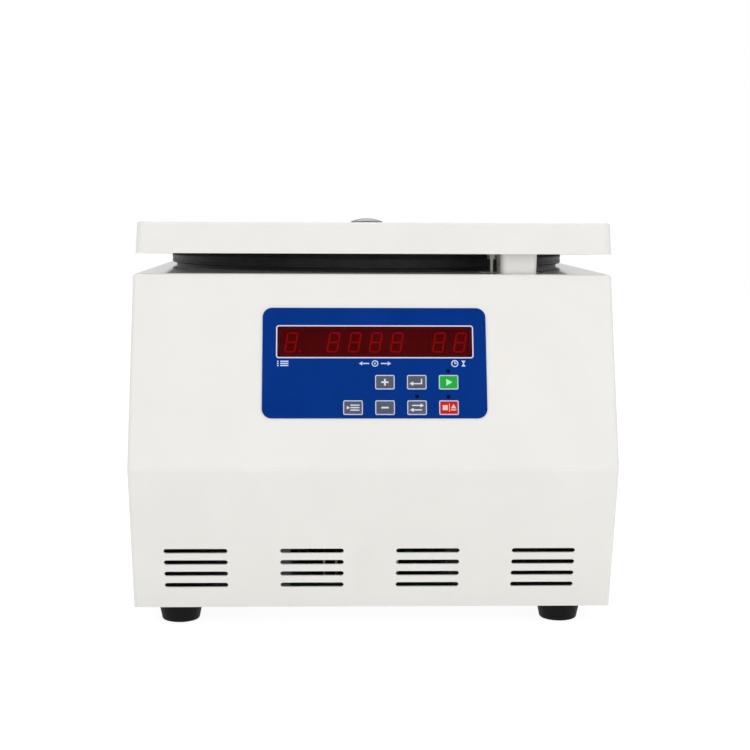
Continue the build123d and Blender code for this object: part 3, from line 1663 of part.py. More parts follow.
def make_heat_sink():
    x = board_x - 10
    y = board_y - board_depth / 2 + sink_depth / 2 + 6
    half_x = sink_width / 2
    half_y = sink_depth / 2
    sink = block((x - half_x, x + half_x), (y - half_y, y + half_y), (board_top_z, board_top_z + sink_base))
    pitch = (sink_width - sink_fin_thick) / (sink_fins - 1)
    for fin in range(sink_fins):
        left = x - half_x + fin * pitch
        sink += block(
            (left, left + sink_fin_thick),
            (y - half_y, y + half_y),
            (board_top_z + sink_base, board_top_z + sink_base + sink_fin_height),
        )
    return sink


def make_mains_filter():
    case = block(
        (filter_x - filter_width / 2, filter_x + filter_width / 2),
        (filter_y - filter_depth / 2, filter_y + filter_depth / 2),
        (pan_top_z, pan_top_z + filter_height),
    )
    return fillet(case.edges().filter_by(Axis.Z), 2)


keep("drive_board", make_drive_board())
keep("heat_sink", make_heat_sink())
keep("mains_filter", make_mains_filter())


os.makedirs("parts", exist_ok=True)
for node, solids in parts.items():
    export_step(Compound(children=solids), f"parts/{node}.step")
    print(node, len(solids), round(sum(solid.volume for solid in solids)))
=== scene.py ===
import bpy
from math import cos, radians, sin
from mathutils import Matrix, Vector


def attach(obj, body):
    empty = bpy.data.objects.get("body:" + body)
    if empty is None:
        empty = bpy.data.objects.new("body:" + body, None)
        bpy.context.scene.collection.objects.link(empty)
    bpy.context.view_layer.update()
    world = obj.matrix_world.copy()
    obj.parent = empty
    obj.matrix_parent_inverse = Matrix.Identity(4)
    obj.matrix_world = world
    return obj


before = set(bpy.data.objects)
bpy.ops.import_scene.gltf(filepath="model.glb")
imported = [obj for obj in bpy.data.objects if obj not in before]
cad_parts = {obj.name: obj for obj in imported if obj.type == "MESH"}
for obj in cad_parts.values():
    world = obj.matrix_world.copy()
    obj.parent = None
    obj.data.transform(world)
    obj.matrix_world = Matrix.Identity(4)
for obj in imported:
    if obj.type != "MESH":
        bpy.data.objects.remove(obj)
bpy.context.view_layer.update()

mm = 0.001
print("frame loaded")

# camera: 72 mm lens on a 36 mm sensor, a little above the lid and left of the middle
cameraSettings = {
    "place": (-0.04064, -1.56362, 0.378),
    "down": 6.38,
    "turn": 1.81,
    "roll": 0.25,
    "lens": 72.0,
    "sensor": 36,
    "clipEnd": 50,
}


def makeCamera(s):
    down = radians(s["down"])
    turn = radians(s["turn"])
    roll = radians(s["roll"])
    ahead = Vector((sin(turn) * cos(down), cos(turn) * cos(down), -sin(down)))
    right = Vector((cos(turn), -sin(turn), 0))
    up = right.cross(ahead)
    across = cos(roll) * right + sin(roll) * up
    rise = cos(roll) * up - sin(roll) * right
    bpy.ops.object.camera_add(location=s["place"])
    camera = bpy.context.object
    camera.name = "camera"
    camera.data.lens = s["lens"]
    camera.data.sensor_width = s["sensor"]
    camera.data.clip_end = s["clipEnd"]
    turned = Matrix((across, rise, -ahead)).transposed().to_4x4()
    camera.matrix_world = Matrix.Translation(s["place"]) @ turned
    bpy.context.scene.camera = camera


makeCamera(cameraSettings)


# materials
def linear(colour):
    parts = [int(colour[i:i + 2], 16) / 255 for i in (1, 3, 5)]
    parts = [c / 12.92 if c <= 0.04045 else ((c + 0.055) / 1.055) ** 2.4 for c in parts]
    return (*parts, 1.0)


def addNode(tree, kind, settings=None, links=None):
    node = tree.nodes.new(kind)
    for key, value in (settings or {}).items():
        if isinstance(key, int) or key in node.inputs:
            node.inputs[key].default_value = value
        else:
            setattr(node, key, value)
    for key, socket in (links or {}).items():
        tree.links.new(socket, node.inputs[key])
    return node


def startMaterial(name):
    material = bpy.data.materials.new(name)
    material.use_nodes = True
    tree = material.node_tree
    tree.nodes.clear()
    place = addNode(tree, "ShaderNodeTexCoord").outputs["Object"]
    return material, tree, place


def endMaterial(tree, shader):
    addNode(tree, "ShaderNodeOutputMaterial", links={"Surface": shader.outputs[0]})


def stretched(tree, place, scale):
    node = addNode(tree, "ShaderNodeMapping", {"Scale": scale}, {"Vector": place})
    return node.outputs["Vector"]


def noiseOf(tree, place, sizeMm, detail=3.0, roughness=0.55):
    settings = {"Scale": 1000 / sizeMm, "Detail": detail, "Roughness": roughness}
    return addNode(tree, "ShaderNodeTexNoise", settings, {"Vector": place}).outputs["Fac"]


def ranged(tree, value, low, high, fromLow=0.3, fromHigh=0.7):
    settings = {"From Min": fromLow, "From Max": fromHigh, "To Min": low, "To Max": high}
    return addNode(tree, "ShaderNodeMapRange", settings, {"Value": value}).outputs["Result"]


def blended(tree, factor, first, second):
    settings = {"data_type": "RGBA", 6: linear(first), 7: linear(second)}
    return addNode(tree, "ShaderNodeMix", settings, {0: factor}).outputs[2]


def bumped(tree, height, depthMm, strength=1.0):
    settings = {"Distance": depthMm * mm, "Strength": strength}
    return addNode(tree, "ShaderNodeBump", settings, {"Height": height}).outputs["Normal"]


# one plain recipe: two tones in a broad mottle, a roughness that wanders, a fine relief
def mottled(name, s):
    material, tree, place = startMaterial(name)
    if "grain" in s:
        place = stretched(tree, place, s["grain"])
    broad = noiseOf(tree, place, s["mottleMm"])
    fine = noiseOf(tree, place, s["reliefMm"], 2.0)
    tone = blended(tree, ranged(tree, broad, 0, 1), *s["tones"])
    settings = {"Metallic": s.get("metallic", 0.0)}
    settings.update(s.get("sockets", {}))
    if "ior" in s:
        settings["IOR"] = s["ior"]
    links = {
        "Base Color": tone,
        "Roughness": ranged(tree, fine, *s["roughness"]),
        "Normal": bumped(tree, fine, s["reliefDepthMm"], s.get("reliefStrength", 0.5)),
    }
    endMaterial(tree, addNode(tree, "ShaderNodeBsdfPrincipled", settings, links))
    return material


# gloss powder coat on steel sheet: warm white, faint orange peel about 1.5 mm across
powderCoat = mottled("glossPowderCoatWhite", {
    "tones": ("#efeeea", "#f2f1ed"),
    "mottleMm": 60, "reliefMm": 1.5, "reliefDepthMm": 0.004, "reliefStrength": 0.2,
    "roughness": (0.05, 0.08), "ior": 1.5,
})
# grey zinc-plated steel: soft cloudy sheen
zincPlate = mottled("zincPlatedSteel", {
    "tones": ("#8f9296", "#a7aaad"),
    "mottleMm": 9, "reliefMm": 0.8, "reliefDepthMm": 0.01,
    "roughness": (0.32, 0.46), "metallic": 1.0,
})
# deep-drawn stainless bowl: fine rings of brushing round the wall
stainlessBowl = mottled("drawnStainlessSteel", {
    "tones": ("#9fa1a3", "#b4b6b7"),
    "mottleMm": 14, "reliefMm": 1.2, "reliefDepthMm": 0.01, "grain": (0.15, 0.15, 2.4),
    "roughness": (0.24, 0.36), "metallic": 1.0,
})
# moulded EPDM rubber: near black, dull bloom in patches
sealRubber = mottled("mouldedBlackRubber", {
    "tones": ("#212224", "#292a2c"),
    "mottleMm": 12, "reliefMm": 0.7, "reliefDepthMm": 0.03,
    "roughness": (0.42, 0.56), "ior": 1.52, "sockets": {"Specular IOR Level": 0.35},
})
footRubber = mottled("mouldedFootRubber", {
    "tones": ("#08080b", "#0c0c10"),
    "mottleMm": 6, "reliefMm": 0.6, "reliefDepthMm": 0.03,
    "roughness": (0.5, 0.66), "ior": 1.52, "sockets": {"Specular IOR Level": 0.15},
})
# polyester overlay printed on its back: deep blue, satin hard coat with a fine tooth
overlayFilm = mottled("printedPolyesterFilm", {
    "tones": ("#023182", "#043589"),
    "mottleMm": 35, "reliefMm": 0.5, "reliefDepthMm": 0.006,
    "roughness": (0.12, 0.17), "ior": 1.57,
    "sockets": {"Specular IOR Level": 0.03},
})
keyFilmGrey = mottled("printedKeyFilmGrey", {
    "tones": ("#3f4a56", "#485460"),
    "mottleMm": 7, "reliefMm": 0.5, "reliefDepthMm": 0.01,
    "roughness": (0.28, 0.36), "ior": 1.57,
})
keyFilmGreen = mottled("printedKeyFilmGreen", {
    "tones": ("#12a232", "#18ae3c"),
    "mottleMm": 7, "reliefMm": 0.5, "reliefDepthMm": 0.01,
    "roughness": (0.28, 0.36), "ior": 1.57, "sockets": {"Specular IOR Level": 0.2},
})
keyFilmRed = mottled("printedKeyFilmRed", {
    "tones": ("#ba0d16", "#c6141f"),
    "mottleMm": 7, "reliefMm": 0.5, "reliefDepthMm": 0.01,
    "roughness": (0.28, 0.36), "ior": 1.57, "sockets": {"Specular IOR Level": 0.2},
})
# screen-printed ink: pale, slightly lilac lines
paleInk = mottled("screenInkPale", {
    "tones": ("#d8d6ec", "#e6e3f4"),
    "mottleMm": 3, "reliefMm": 0.4, "reliefDepthMm": 0.004,
    "roughness": (0.35, 0.45), "ior": 1.5,
})
outlineInk = mottled("screenInkLavender", {
    "tones": ("#c3caef", "#cfd5f5"),
    "mottleMm": 3, "reliefMm": 0.4, "reliefDepthMm": 0.004,
    "roughness": (0.35, 0.45), "ior": 1.5,
})
iconInk = mottled("screenInkLightBlue", {
    "tones": ("#b9cdf2", "#c9d9f8"),
    "mottleMm": 3, "reliefMm": 0.4, "reliefDepthMm": 0.004,
    "roughness": (0.35, 0.45), "ior": 1.5,
})
mintInk = mottled("screenInkMint", {
    "tones": ("#b2ecbd", "#c3f2cb"),
    "mottleMm": 3, "reliefMm": 0.4, "reliefDepthMm": 0.004,
    "roughness": (0.35, 0.45), "ior": 1.5,
})
roseInk = mottled("screenInkRose", {
    "tones": ("#f2b9a8", "#f7c7b8"),
    "mottleMm": 3, "reliefMm": 0.4, "reliefDepthMm": 0.004,
    "roughness": (0.35, 0.45), "ior": 1.5,
})
# painted shade: a dark border behind the pane's edge stands for the shadow of the recessed window, and covers
# the casing's cut edge seen through the pane
windowEdgePaintedShade = mottled("paintedShadeWindowEdge", {
    "tones": ("#42060a", "#47070b"),
    "mottleMm": 5, "reliefMm": 0.5, "reliefDepthMm": 0.004,
    "roughness": (0.3, 0.4), "ior": 1.5, "sockets": {"Specular IOR Level": 0.04},
})
# idle LED bars: milky epoxy light pipes seen through the window; their faint emission is a painted glow that
# stands in for light caught by the unlit pipes
segmentRedPaintedGlow = mottled("castEpoxySegmentPaintedGlow", {
    "tones": ("#c2241d", "#dc3a2c"),
    "mottleMm": 3, "reliefMm": 0.5, "reliefDepthMm": 0.01,
    "roughness": (0.3, 0.4), "ior": 1.52,
    "sockets": {"Emission Color": linear("#ffc0a8"), "Emission Strength": 0.2},
})
slateInk = mottled("screenInkSlate", {
    "tones": ("#3c4248", "#464c53"),
    "mottleMm": 3, "reliefMm": 0.4, "reliefDepthMm": 0.004,
    "roughness": (0.4, 0.5), "ior": 1.5,
})
# moulded silicone mat: mid grey, matt
siliconePad = mottled("mouldedSiliconePad", {
    "tones": ("#4a4f55", "#565c62"),
    "mottleMm": 14, "reliefMm": 0.8, "reliefDepthMm": 0.02,
    "roughness": (0.5, 0.64), "ior": 1.43,
})
relayBlack = mottled("mouldedRelayCase", {
    "tones": ("#14161a", "#1c1f24"),
    "mottleMm": 8, "reliefMm": 0.5, "reliefDepthMm": 0.01,
    "roughness": (0.3, 0.4), "ior": 1.53,
})
# smoked lens of an unlit lamp
darkLens = mottled("smokedLampLens", {
    "tones": ("#000a20", "#000e2a"),
    "mottleMm": 1, "reliefMm": 0.4, "reliefDepthMm": 0.01,
    "roughness": (0.25, 0.35), "ior": 1.5, "sockets": {"Specular IOR Level": 0.04},
})
# turned and ground steel
turnedSteel = mottled("turnedSteel", {
    "tones": ("#8d8f92", "#9fa1a4"),
    "mottleMm": 10, "reliefMm": 0.5, "reliefDepthMm": 0.008,
    "roughness": (0.2, 0.32), "metallic": 1.0,
})
brightZinc = mottled("brightZincScrew", {
    "tones": ("#c2c4c6", "#d3d4d5"),
    "mottleMm": 2, "reliefMm": 0.4, "reliefDepthMm": 0.006,
    "roughness": (0.16, 0.28), "metallic": 1.0,
})
# the bolt that presses the lid switch, and its lock nut: dull zinc over mild steel
dullZinc = mottled("dullZincBolt", {
    "tones": ("#8b8b85", "#a9a8a2"),
    "mottleMm": 2, "reliefMm": 0.4, "reliefDepthMm": 0.01,
    "roughness": (0.36, 0.5), "metallic": 1.0,
})
# milled aluminium, clear anodised: soft, pale, faint machining lines
anodisedAluminium = mottled("clearAnodisedAluminium", {
    "tones": ("#b4b6b9", "#c2c4c6"),
    "mottleMm": 18, "reliefMm": 0.9, "reliefDepthMm": 0.008, "grain": (1, 0.12, 1),
    "roughness": (0.28, 0.4), "metallic": 1.0,
})
bezelAluminium = mottled("satinBezelAluminium", {
    "tones": ("#85878a", "#96989b"),
    "mottleMm": 8, "reliefMm": 0.5, "reliefDepthMm": 0.008,
    "roughness": (0.22, 0.34), "metallic": 1.0,
})
motorPaint = mottled("hammeredMotorPaint", {
    "tones": ("#2b2e31", "#373b3f"),
    "mottleMm": 5, "reliefMm": 2.2, "reliefDepthMm": 0.08,
    "roughness": (0.34, 0.5), "ior": 1.5,
})
# glass-filled nylon and ABS housings: black, fine spark-eroded texture
blackPlastic = mottled("texturedBlackPolyamide", {
    "tones": ("#121315", "#1a1b1d"),
    "mottleMm": 6, "reliefMm": 0.45, "reliefDepthMm": 0.02,
    "roughness": (0.36, 0.5), "ior": 1.53,
})
# acetal block: milky white, waxy
whiteAcetal = mottled("machinedWhiteAcetal", {
    "tones": ("#fbfaf7", "#fdfcfa"),
    "mottleMm": 12, "reliefMm": 0.8, "reliefDepthMm": 0.01,
    "roughness": (0.3, 0.42), "ior": 1.48,
    "sockets": {
        "Subsurface Weight": 0.12, "Subsurface Scale": 0.003, "Subsurface Radius": (1.0, 1.0, 0.95),
    },
})
# epoxy board under green solder mask
solderMask = mottled("greenSolderMask", {
    "tones": ("#0e3d22", "#16502f"),
    "mottleMm": 4, "reliefMm": 1.2, "reliefDepthMm": 0.02,
    "roughness": (0.28, 0.4), "ior": 1.55,
})
# face of a digit module: dark, reddened by its filter
digitFace = mottled("digitModuleFace", {
    "tones": ("#2a1714", "#3a1d18"),
    "mottleMm": 14, "reliefMm": 0.9, "reliefDepthMm": 0.01,
    "roughness": (0.5, 0.62), "ior": 1.5,
})
# snap domes: thin bright stainless
domeSteel = mottled("snapDomeSteel", {
    "tones": ("#b0b2b4", "#c4c6c8"),
    "mottleMm": 3, "reliefMm": 0.4, "reliefDepthMm": 0.004,
    "roughness": (0.14, 0.22), "metallic": 1.0,
})
# lid's inner plate: satin powder coat, a little greyer than outside
linerCoat = mottled("satinPowderCoatLiner", {
    "tones": ("#dfdeda", "#e2e1dd"),
    "mottleMm": 50, "reliefMm": 1.4, "reliefDepthMm": 0.015, "reliefStrength": 0.35,
    "roughness": (0.34, 0.44), "ior": 1.5,
})


# clear or tinted sheet: what is behind shows through it, and its skin still shines
def clearSheet(name, s):
    material, tree, place = startMaterial(name)
    cloud = noiseOf(tree, place, s["mottleMm"])
    tone = blended(tree, ranged(tree, cloud, 0, 1), *s["tones"])
    body = {"Fac": s["body"]}
    links = {}
    if "rim" in s:  # painted shade: where a domed lens turns away it is given a darker, less clear tone
        facing = addNode(tree, "ShaderNodeLayerWeight", {"Blend": 0.5}).outputs["Facing"]
        rim = ranged(tree, facing, 0, 1, *s["rimRange"])
        mixed = addNode(tree, "ShaderNodeMix", {"data_type": "RGBA", 7: linear(s["rim"])}, {0: rim, 6: tone})
        tone = mixed.outputs[2]
        body, links = {}, {"Fac": ranged(tree, facing, s["body"], 0.95, *s["rimRange"])}
    skin = addNode(tree, "ShaderNodeBsdfPrincipled", {"IOR": s["ior"], **s.get("sockets", {})}, {
        "Base Color": tone,
        "Roughness": ranged(tree, cloud, *s["roughness"]),
    })
    through = addNode(tree, "ShaderNodeBsdfTransparent", {"Color": linear(s["through"])})
    mix = addNode(tree, "ShaderNodeMixShader", body, {
        1: through.outputs[0],
        2: skin.outputs[0],
        **links,
    })
    endMaterial(tree, mix)
    return material


# cast red acrylic: deep wine red with glossy faces
redAcrylic = clearSheet("tintedRedAcrylic", {
    "tones": ("#63070a", "#750b0f"), "mottleMm": 45, "roughness": (0.08, 0.12),
    "ior": 1.49, "through": "#f02818", "body": 0.27, "sockets": {"Specular IOR Level": 0.15},
})
# the rim colour is painted shade at the edge of the domed lens
clearLensPaintedRimShade = clearSheet("clearPolycarbonatePaintedRimShade", {
    "tones": ("#d6dadb", "#dfe3e4"), "mottleMm": 20, "roughness": (0.05, 0.09),
    "ior": 1.58, "through": "#e9eeee", "body": 0.3, "rim": "#4a4c4b", "rimRange": (0.72, 0.9),
})

nodeMaterials = {
    powderCoat: ("casing", "rear_panel", "lid_shell"),
    linerCoat: ("lid_liner",),
    zincPlate: ("base_plate", "lock_housing", "mains_filter", "motor_posts"),
    stainlessBowl: ("chamber_bowl",),
    sealRubber: ("chamber_seal", "shaft_boot", "vibration_mounts"),
    footRubber: ("feet",),
    overlayFilm: ("front_overlay",),
    redAcrylic: ("display_window",),
    keyFilmGrey: ("key_select", "key_minus", "key_speed", "key_plus", "key_enter"),
    keyFilmGreen: ("key_start",),
    keyFilmRed: ("key_stop",),
    turnedSteel: (
        "motor_plate", "motor_bearings", "motor_shaft", "trunnion_pins", "lock_bolt",
        "hinge_brackets", "hinge_pins", "hinge_leaves",
    ),
    brightZinc: (
        "foot_screws", "casing_screws", "rear_screws", "hinge_screws", "lid_screws",
        "fan_guard",
    ),
    dullZinc: ("switch_bolt", "switch_bolt_nut"),
    anodisedAluminium: ("rotor_frame", "rotor_cap", "carrier_a", "carrier_b", "heat_sink"),
    bezelAluminium: ("sight_glass_bezel",),
    motorPaint: ("motor_housing",),
    blackPlastic: (
        "fan_frame", "fan_impeller", "power_inlet", "rocker_frame", "power_rocker",
        "fuse_caps", "sight_glass_nut", "lock_well", "microswitch",
    ),
    whiteAcetal: ("lock_block",),
    solderMask: ("display_board", "drive_board"),
    digitFace: ("led_digits",),
    domeSteel: ("key_domes",),
    clearLensPaintedRimShade: ("sight_glass_lens",),
}
for material, names in nodeMaterials.items():
    for name in names:
        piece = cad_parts[name]
        piece.data.materials.clear()
        piece.data.materials.append(material)
print("materials on", sum(len(names) for names in nodeMaterials.values()), "nodes")


# tools for new pieces
def clearSelection():
    if bpy.context.mode != "OBJECT":
        bpy.ops.object.mode_set(mode="OBJECT")
    bpy.ops.object.select_all(action="DESELECT")


def pickFaces(piece, wanted):
    bpy.ops.object.mode_set(mode="OBJECT")
    for face in piece.data.polygons:
        face.select = wanted(face)
    for edge in piece.data.edges:
        edge.select = False
    for point in piece.data.vertices:
        point.select = False
    for face in piece.data.polygons:
        if face.select:
            for index in face.vertices:
                piece.data.vertices[index].select = True
    bpy.ops.object.mode_set(mode="EDIT")
    bpy.ops.mesh.select_mode(type="FACE")


def settle(piece, name, material, body, place=None, smooth=35):
    # place: matrix from the drawing plane to the machine
    clearSelection()
    piece.name = name
    piece.select_set(True)
    bpy.context.view_layer.objects.active = piece
    if place is not None:
        piece.matrix_world = place @ piece.matrix_world
    bpy.ops.object.transform_apply(location=True, rotation=True, scale=True)
    bpy.ops.object.shade_smooth_by_angle(angle=radians(smooth))
    piece.data.materials.clear()
    piece.data.materials.append(material)
    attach(piece, body)
    return piece


def flatPlate(width, height, corner, thick, at=(0, 0), segments=6):
    # rounded plate drawn on XY, its underside at z = 0
    clearSelection()
    bpy.ops.mesh.primitive_plane_add(size=1, location=(at[0], at[1], 0))
    piece = bpy.context.object
    piece.scale = (width, height, 1)
    bpy.ops.object.transform_apply(location=False, rotation=False, scale=True)
    bpy.ops.object.mode_set(mode="EDIT")
    bpy.ops.mesh.select_all(action="SELECT")
    if corner > 0:
        bpy.ops.mesh.bevel(offset=corner, segments=segments, affect="VERTICES")
        bpy.ops.mesh.select_all(action="SELECT")
    bpy.ops.mesh.extrude_region_move(TRANSFORM_OT_translate={"value": (0, 0, thick)})
    bpy.ops.mesh.select_all(action="SELECT")
    bpy.ops.mesh.normals_make_consistent(inside=False)
    bpy.ops.object.mode_set(mode="OBJECT")
    return piece


def outlinePlate(width, height, corner, line, thick, at=(0, 0), segments=6):
    # a rounded frame of one line's width
    clearSelection()
    bpy.ops.mesh.primitive_plane_add(size=1, location=(at[0], at[1], 0))
    piece = bpy.context.object
    piece.scale = (width, height, 1)
    bpy.ops.object.transform_apply(location=False, rotation=False, scale=True)
    bpy.ops.object.mode_set(mode="EDIT")
    bpy.ops.mesh.select_all(action="SELECT")
    bpy.ops.mesh.bevel(offset=corner, segments=segments, affect="VERTICES")
    bpy.ops.mesh.select_all(action="SELECT")
    bpy.ops.mesh.inset(thickness=line)
    bpy.ops.mesh.delete(type="FACE")
    bpy.ops.mesh.select_all(action="SELECT")
    bpy.ops.mesh.extrude_region_move(TRANSFORM_OT_translate={"value": (0, 0, thick)})
    bpy.ops.mesh.select_all(action="SELECT")
    bpy.ops.mesh.normals_make_consistent(inside=False)
    bpy.ops.object.mode_set(mode="OBJECT")
    return piece


def turnFlat(piece, angle):
    # turn in the drawing plane about the piece's own place
    piece.rotation_euler[2] += radians(angle)
    return piece


def joined(pieces):
    clearSelection()
    for piece in pieces:
        piece.select_set(True)
    bpy.context.view_layer.objects.active = pieces[0]
    if len(pieces) > 1:
        bpy.ops.object.join()
    return bpy.context.view_layer.objects.active


# control panel: ink lines, symbols and LED segments
# drawing plane of the sloped front: x to the right, y up the slope from the crease
def planeMatrix(origin, across, rise):
    across, rise = Vector(across).normalized(), Vector(rise).normalized()
    turned = Matrix((across, rise, across.cross(rise))).transposed().to_4x4()
    return Matrix.Translation(Vector(origin) * mm) @ turned


panelSettings = {
    "origin": (0, -274.966, 151.0),
    "rise": (0, 58.0, 167.5),
    "inkThick": 0.05,
    "overlayFace": 1.0,
    "windowMiddle": (1.0, 114.4),
    "frameSize": (175.1, 30.1),
    "frameLine": 1.05,
    "frameCorner": 2.5,
    "edgeLine": 2.8,
    "edgeCorner": 1.3,
    "edgeThick": 0.03,
    "windowSize": (172.9, 27.9),
}
panelPlace = planeMatrix(panelSettings["origin"], (1, 0, 0), panelSettings["rise"])


def lifted(piece, height):
    # raise a flat piece off the drawing plane
    piece.location[2] += height * mm
    return piece


def bar(x, y, width, height, thick, angle=0, corner=0.0):
    piece = flatPlate(width * mm, height * mm, corner * mm, thick * mm, segments=2)
    piece.location = (x * mm, y * mm, 0)
    return turnFlat(piece, angle)


def ring(x, y, width, height, corner, line, thick, segments=6):
    piece = outlinePlate(width * mm, height * mm, corner * mm, line * mm, thick * mm, segments=segments)
    piece.location = (x * mm, y * mm, 0)
    return piece


def triangle(x, y, size, thick, angle=0):
    # points along +x before it is turned
    clearSelection()
    bpy.ops.mesh.primitive_circle_add(vertices=3, radius=size * mm, fill_type="NGON")
    piece = bpy.context.object
    piece.rotation_euler[2] = radians(-90)
    bpy.ops.object.transform_apply(location=False, rotation=True, scale=False)
    bpy.ops.object.mode_set(mode="EDIT")
    bpy.ops.mesh.select_all(action="SELECT")
    bpy.ops.mesh.extrude_region_move(TRANSFORM_OT_translate={"value": (0, 0, thick * mm)})
    bpy.ops.mesh.select_all(action="SELECT")
    bpy.ops.mesh.normals_make_consistent(inside=False)
    bpy.ops.object.mode_set(mode="OBJECT")
    piece.location = (x * mm, y * mm, 0)
    return turnFlat(piece, angle)


def disc(x, y, radius, thick, points=24):
    clearSelection()
    bpy.ops.mesh.primitive_circle_add(vertices=points, radius=radius * mm, fill_type="NGON")
    piece = bpy.context.object
    bpy.ops.object.mode_set(mode="EDIT")
    bpy.ops.mesh.select_all(action="SELECT")
    bpy.ops.mesh.extrude_region_move(TRANSFORM_OT_translate={"value": (0, 0, thick * mm)})
    bpy.ops.mesh.select_all(action="SELECT")
    bpy.ops.mesh.normals_make_consistent(inside=False)
    bpy.ops.object.mode_set(mode="OBJECT")
    piece.location = (x * mm, y * mm, 0)
    return piece


def ontoPanel(pieces, name, material, body, height):
    for piece in pieces:
        lifted(piece, height)
    return settle(joined(pieces), name, material, body, panelPlace)


def makeWindowFrame(s):
    x, up = s["windowMiddle"]
    line = ring(x, up, *s["frameSize"], s["frameCorner"], s["frameLine"], s["inkThick"])
    ontoPanel([line], "windowInkFrame", paleInk, "housing", s["overlayFace"])
    edge = ring(x, up, *s["windowSize"], s["edgeCorner"], s["edgeLine"], s["edgeThick"])
    # the dark edge ring is painted shade along the window's border
    ontoPanel([edge], "windowEdgePaintedShadeRing", windowEdgePaintedShade, "housing", s["overlayFace"])


makeWindowFrame(panelSettings)


# seven slanted LED digits behind the window, each an 8 whose segments all carry one faint painted glow
digitSettings = {
    "middle": 1.9,
    "row": 114.5,
    "pitch": 18.78,
    "places": (-4, -2, -1, 0, 1, 3, 4),
    "width": 8.7,
    "height": 17.1,
    "bar": 1.35,
    "barEnd": 0.5,
    # how much shorter the bars are than the grid they stand on, in bar widths
    "acrossGap": 1.1,
    "uprightGap": 0.55,
    "slant": 9.6,
    "level": -1.98,
    "thick": 0.12,
    "dotAfter": -4,
    "dotAside": 7.9,
    "dotRise": 0.5,
    "dotRadius": 1.0,
}


def makeDigit(x, s):
    up = s["row"]
    half = s["width"] / 2
    rise = s["height"] / 2
    slant = radians(s["slant"])
    lean = sin(slant) / cos(slant)
    across = (s["width"] - s["bar"] * s["acrossGap"], s["bar"], s["thick"])
    upright = (s["bar"], (rise - s["bar"] * s["uprightGap"]) / cos(slant), s["thick"])
    bars = []
    for level in (-rise, 0, rise):
        bars.append(bar(x + level * lean, up + level, *across, 0, s["barEnd"]))
    for side in (-half, half):
        for level in (-rise / 2, rise / 2):
            bars.append(bar(x + side + level * lean, up + level, *upright, -s["slant"], s["barEnd"]))
    return bars


def makeDigits(s):
    for place in s["places"]:
        x = s["middle"] + place * s["pitch"]
        bars = makeDigit(x, s)
        if place == s["dotAfter"]:
            low = s["row"] - s["height"] / 2 + s["dotRise"]
            bars.append(disc(x + s["dotAside"], low, s["dotRadius"], s["thick"]))
        ontoPanel(bars, f"digitSegments{place + 5}", segmentRedPaintedGlow, "housing", s["level"])


makeDigits(digitSettings)
print("window and digits made")

# keys: a pale outline and one plain symbol on each
keySettings = {
    "first": -18.55,
    "pitch": 28.14,
    "upper": 77.6,
    "lower": 54.7,
    "face": 1.35,
    "outline": (17.2, 13.0),
    "outlineLine": 0.85,
    "outlineCorner": 1.5,
    "outlineSink": 0.05,
    "ink": 0.05,
}


def keyPlace(s, column, row):
    return s["first"] + s["pitch"] * column, s[row]


def keyOutline(s, node, x, up):
    thick = s["ink"] + s["outlineSink"]
    line = ring(x, up, *s["outline"], s["outlineCorner"], s["outlineLine"], thick)
    ontoPanel([line], node + "Outline", outlineInk, node, s["face"] - s["outlineSink"])


def keySymbol(s, node, pieces, ink):
    ontoPanel(pieces, node + "Symbol", ink, node, s["face"])


# the signs are drawn in millimetres about their own middle; bars that cross differ a little in
# thickness, so that no two faces share a plane
def plusSign(x, up, ink):
    return [bar(x, up, 6.4, 1.5, ink), bar(x, up, 1.5, 6.0, ink * 1.02)]


def minusSign(x, up, ink):
    return [bar(x, up, 6.4, 1.5, ink)]


def returnArrow(x, up, ink):
    return [
        bar(x + 0.6, up - 1.3, 8.4, 1.1, ink),
        bar(x + 4.25, up + 0.9, 1.1, 4.6, ink * 1.02),
        triangle(x - 4.2, up - 1.3, 2.3, ink * 1.04, 180),
    ]


def selectSign(x, up, ink):
    pieces = [triangle(x - 4.6, up, 1.9, ink)]
    for level in (-2.2, 0, 2.2):
        pieces.append(bar(x + 1.6, up + level, 8.0, 1.05, ink * 1.02))
    return pieces


def swapSign(x, up, ink):
    return [
        bar(x - 0.6, up + 2.0, 7.6, 1.1, ink),
        triangle(x + 4.1, up + 2.0, 2.1, ink * 1.02, 0),
        bar(x + 0.6, up - 2.0, 7.6, 1.1, ink),
        triangle(x - 4.1, up - 2.0, 2.1, ink * 1.02, 180),
    ]


def playSign(x, up, ink):
    return [triangle(x - 0.3, up, 3.6, ink)]


def stopOpenSign(x, up, ink):
    return [
        bar(x - 3.3, up, 4.6, 4.6, ink, 0, 0.2),
        bar(x + 0.4, up, 0.6, 7.4, ink * 1.01),
        triangle(x + 4.0, up + 0.7, 2.7, ink * 1.02, 90),
        bar(x + 4.0, up - 2.0, 4.8, 1.0, ink * 1.03),
    ]


def makeKeys(s):
    signs = {
        "key_select": (0, "lower", selectSign, paleInk),
        "key_minus": (1, "lower", minusSign, paleInk),
        "key_speed": (2, "lower", swapSign, paleInk),
        "key_stop": (3, "lower", stopOpenSign, roseInk),
        "key_plus": (1, "upper", plusSign, paleInk),
        "key_enter": (2, "upper", returnArrow, paleInk),
        "key_start": (3, "upper", playSign, mintInk),
    }
    for node, (column, row, sign, ink) in signs.items():
        x, up = keyPlace(s, column, row)
        keyOutline(s, node, x, up)
        keySymbol(s, node, sign(x, up, s["ink"]), ink)


makeKeys(keySettings)

# under the window: what each group of digits counts
iconSettings = {"row": 94.6, "level": 1.0, "ink": 0.05, "left": -80.4, "middle": 1.0, "right": 75.6}


def listIcon(x, up, ink):
    pieces = []
    for level in (-1.9, 0, 1.9):
        pieces.append(bar(x - 4.4, up + level, 1.3, 1.2, ink))
        pieces.append(bar(x + 1.3, up + level, 7.2, 1.1, ink * 1.02))
    return pieces


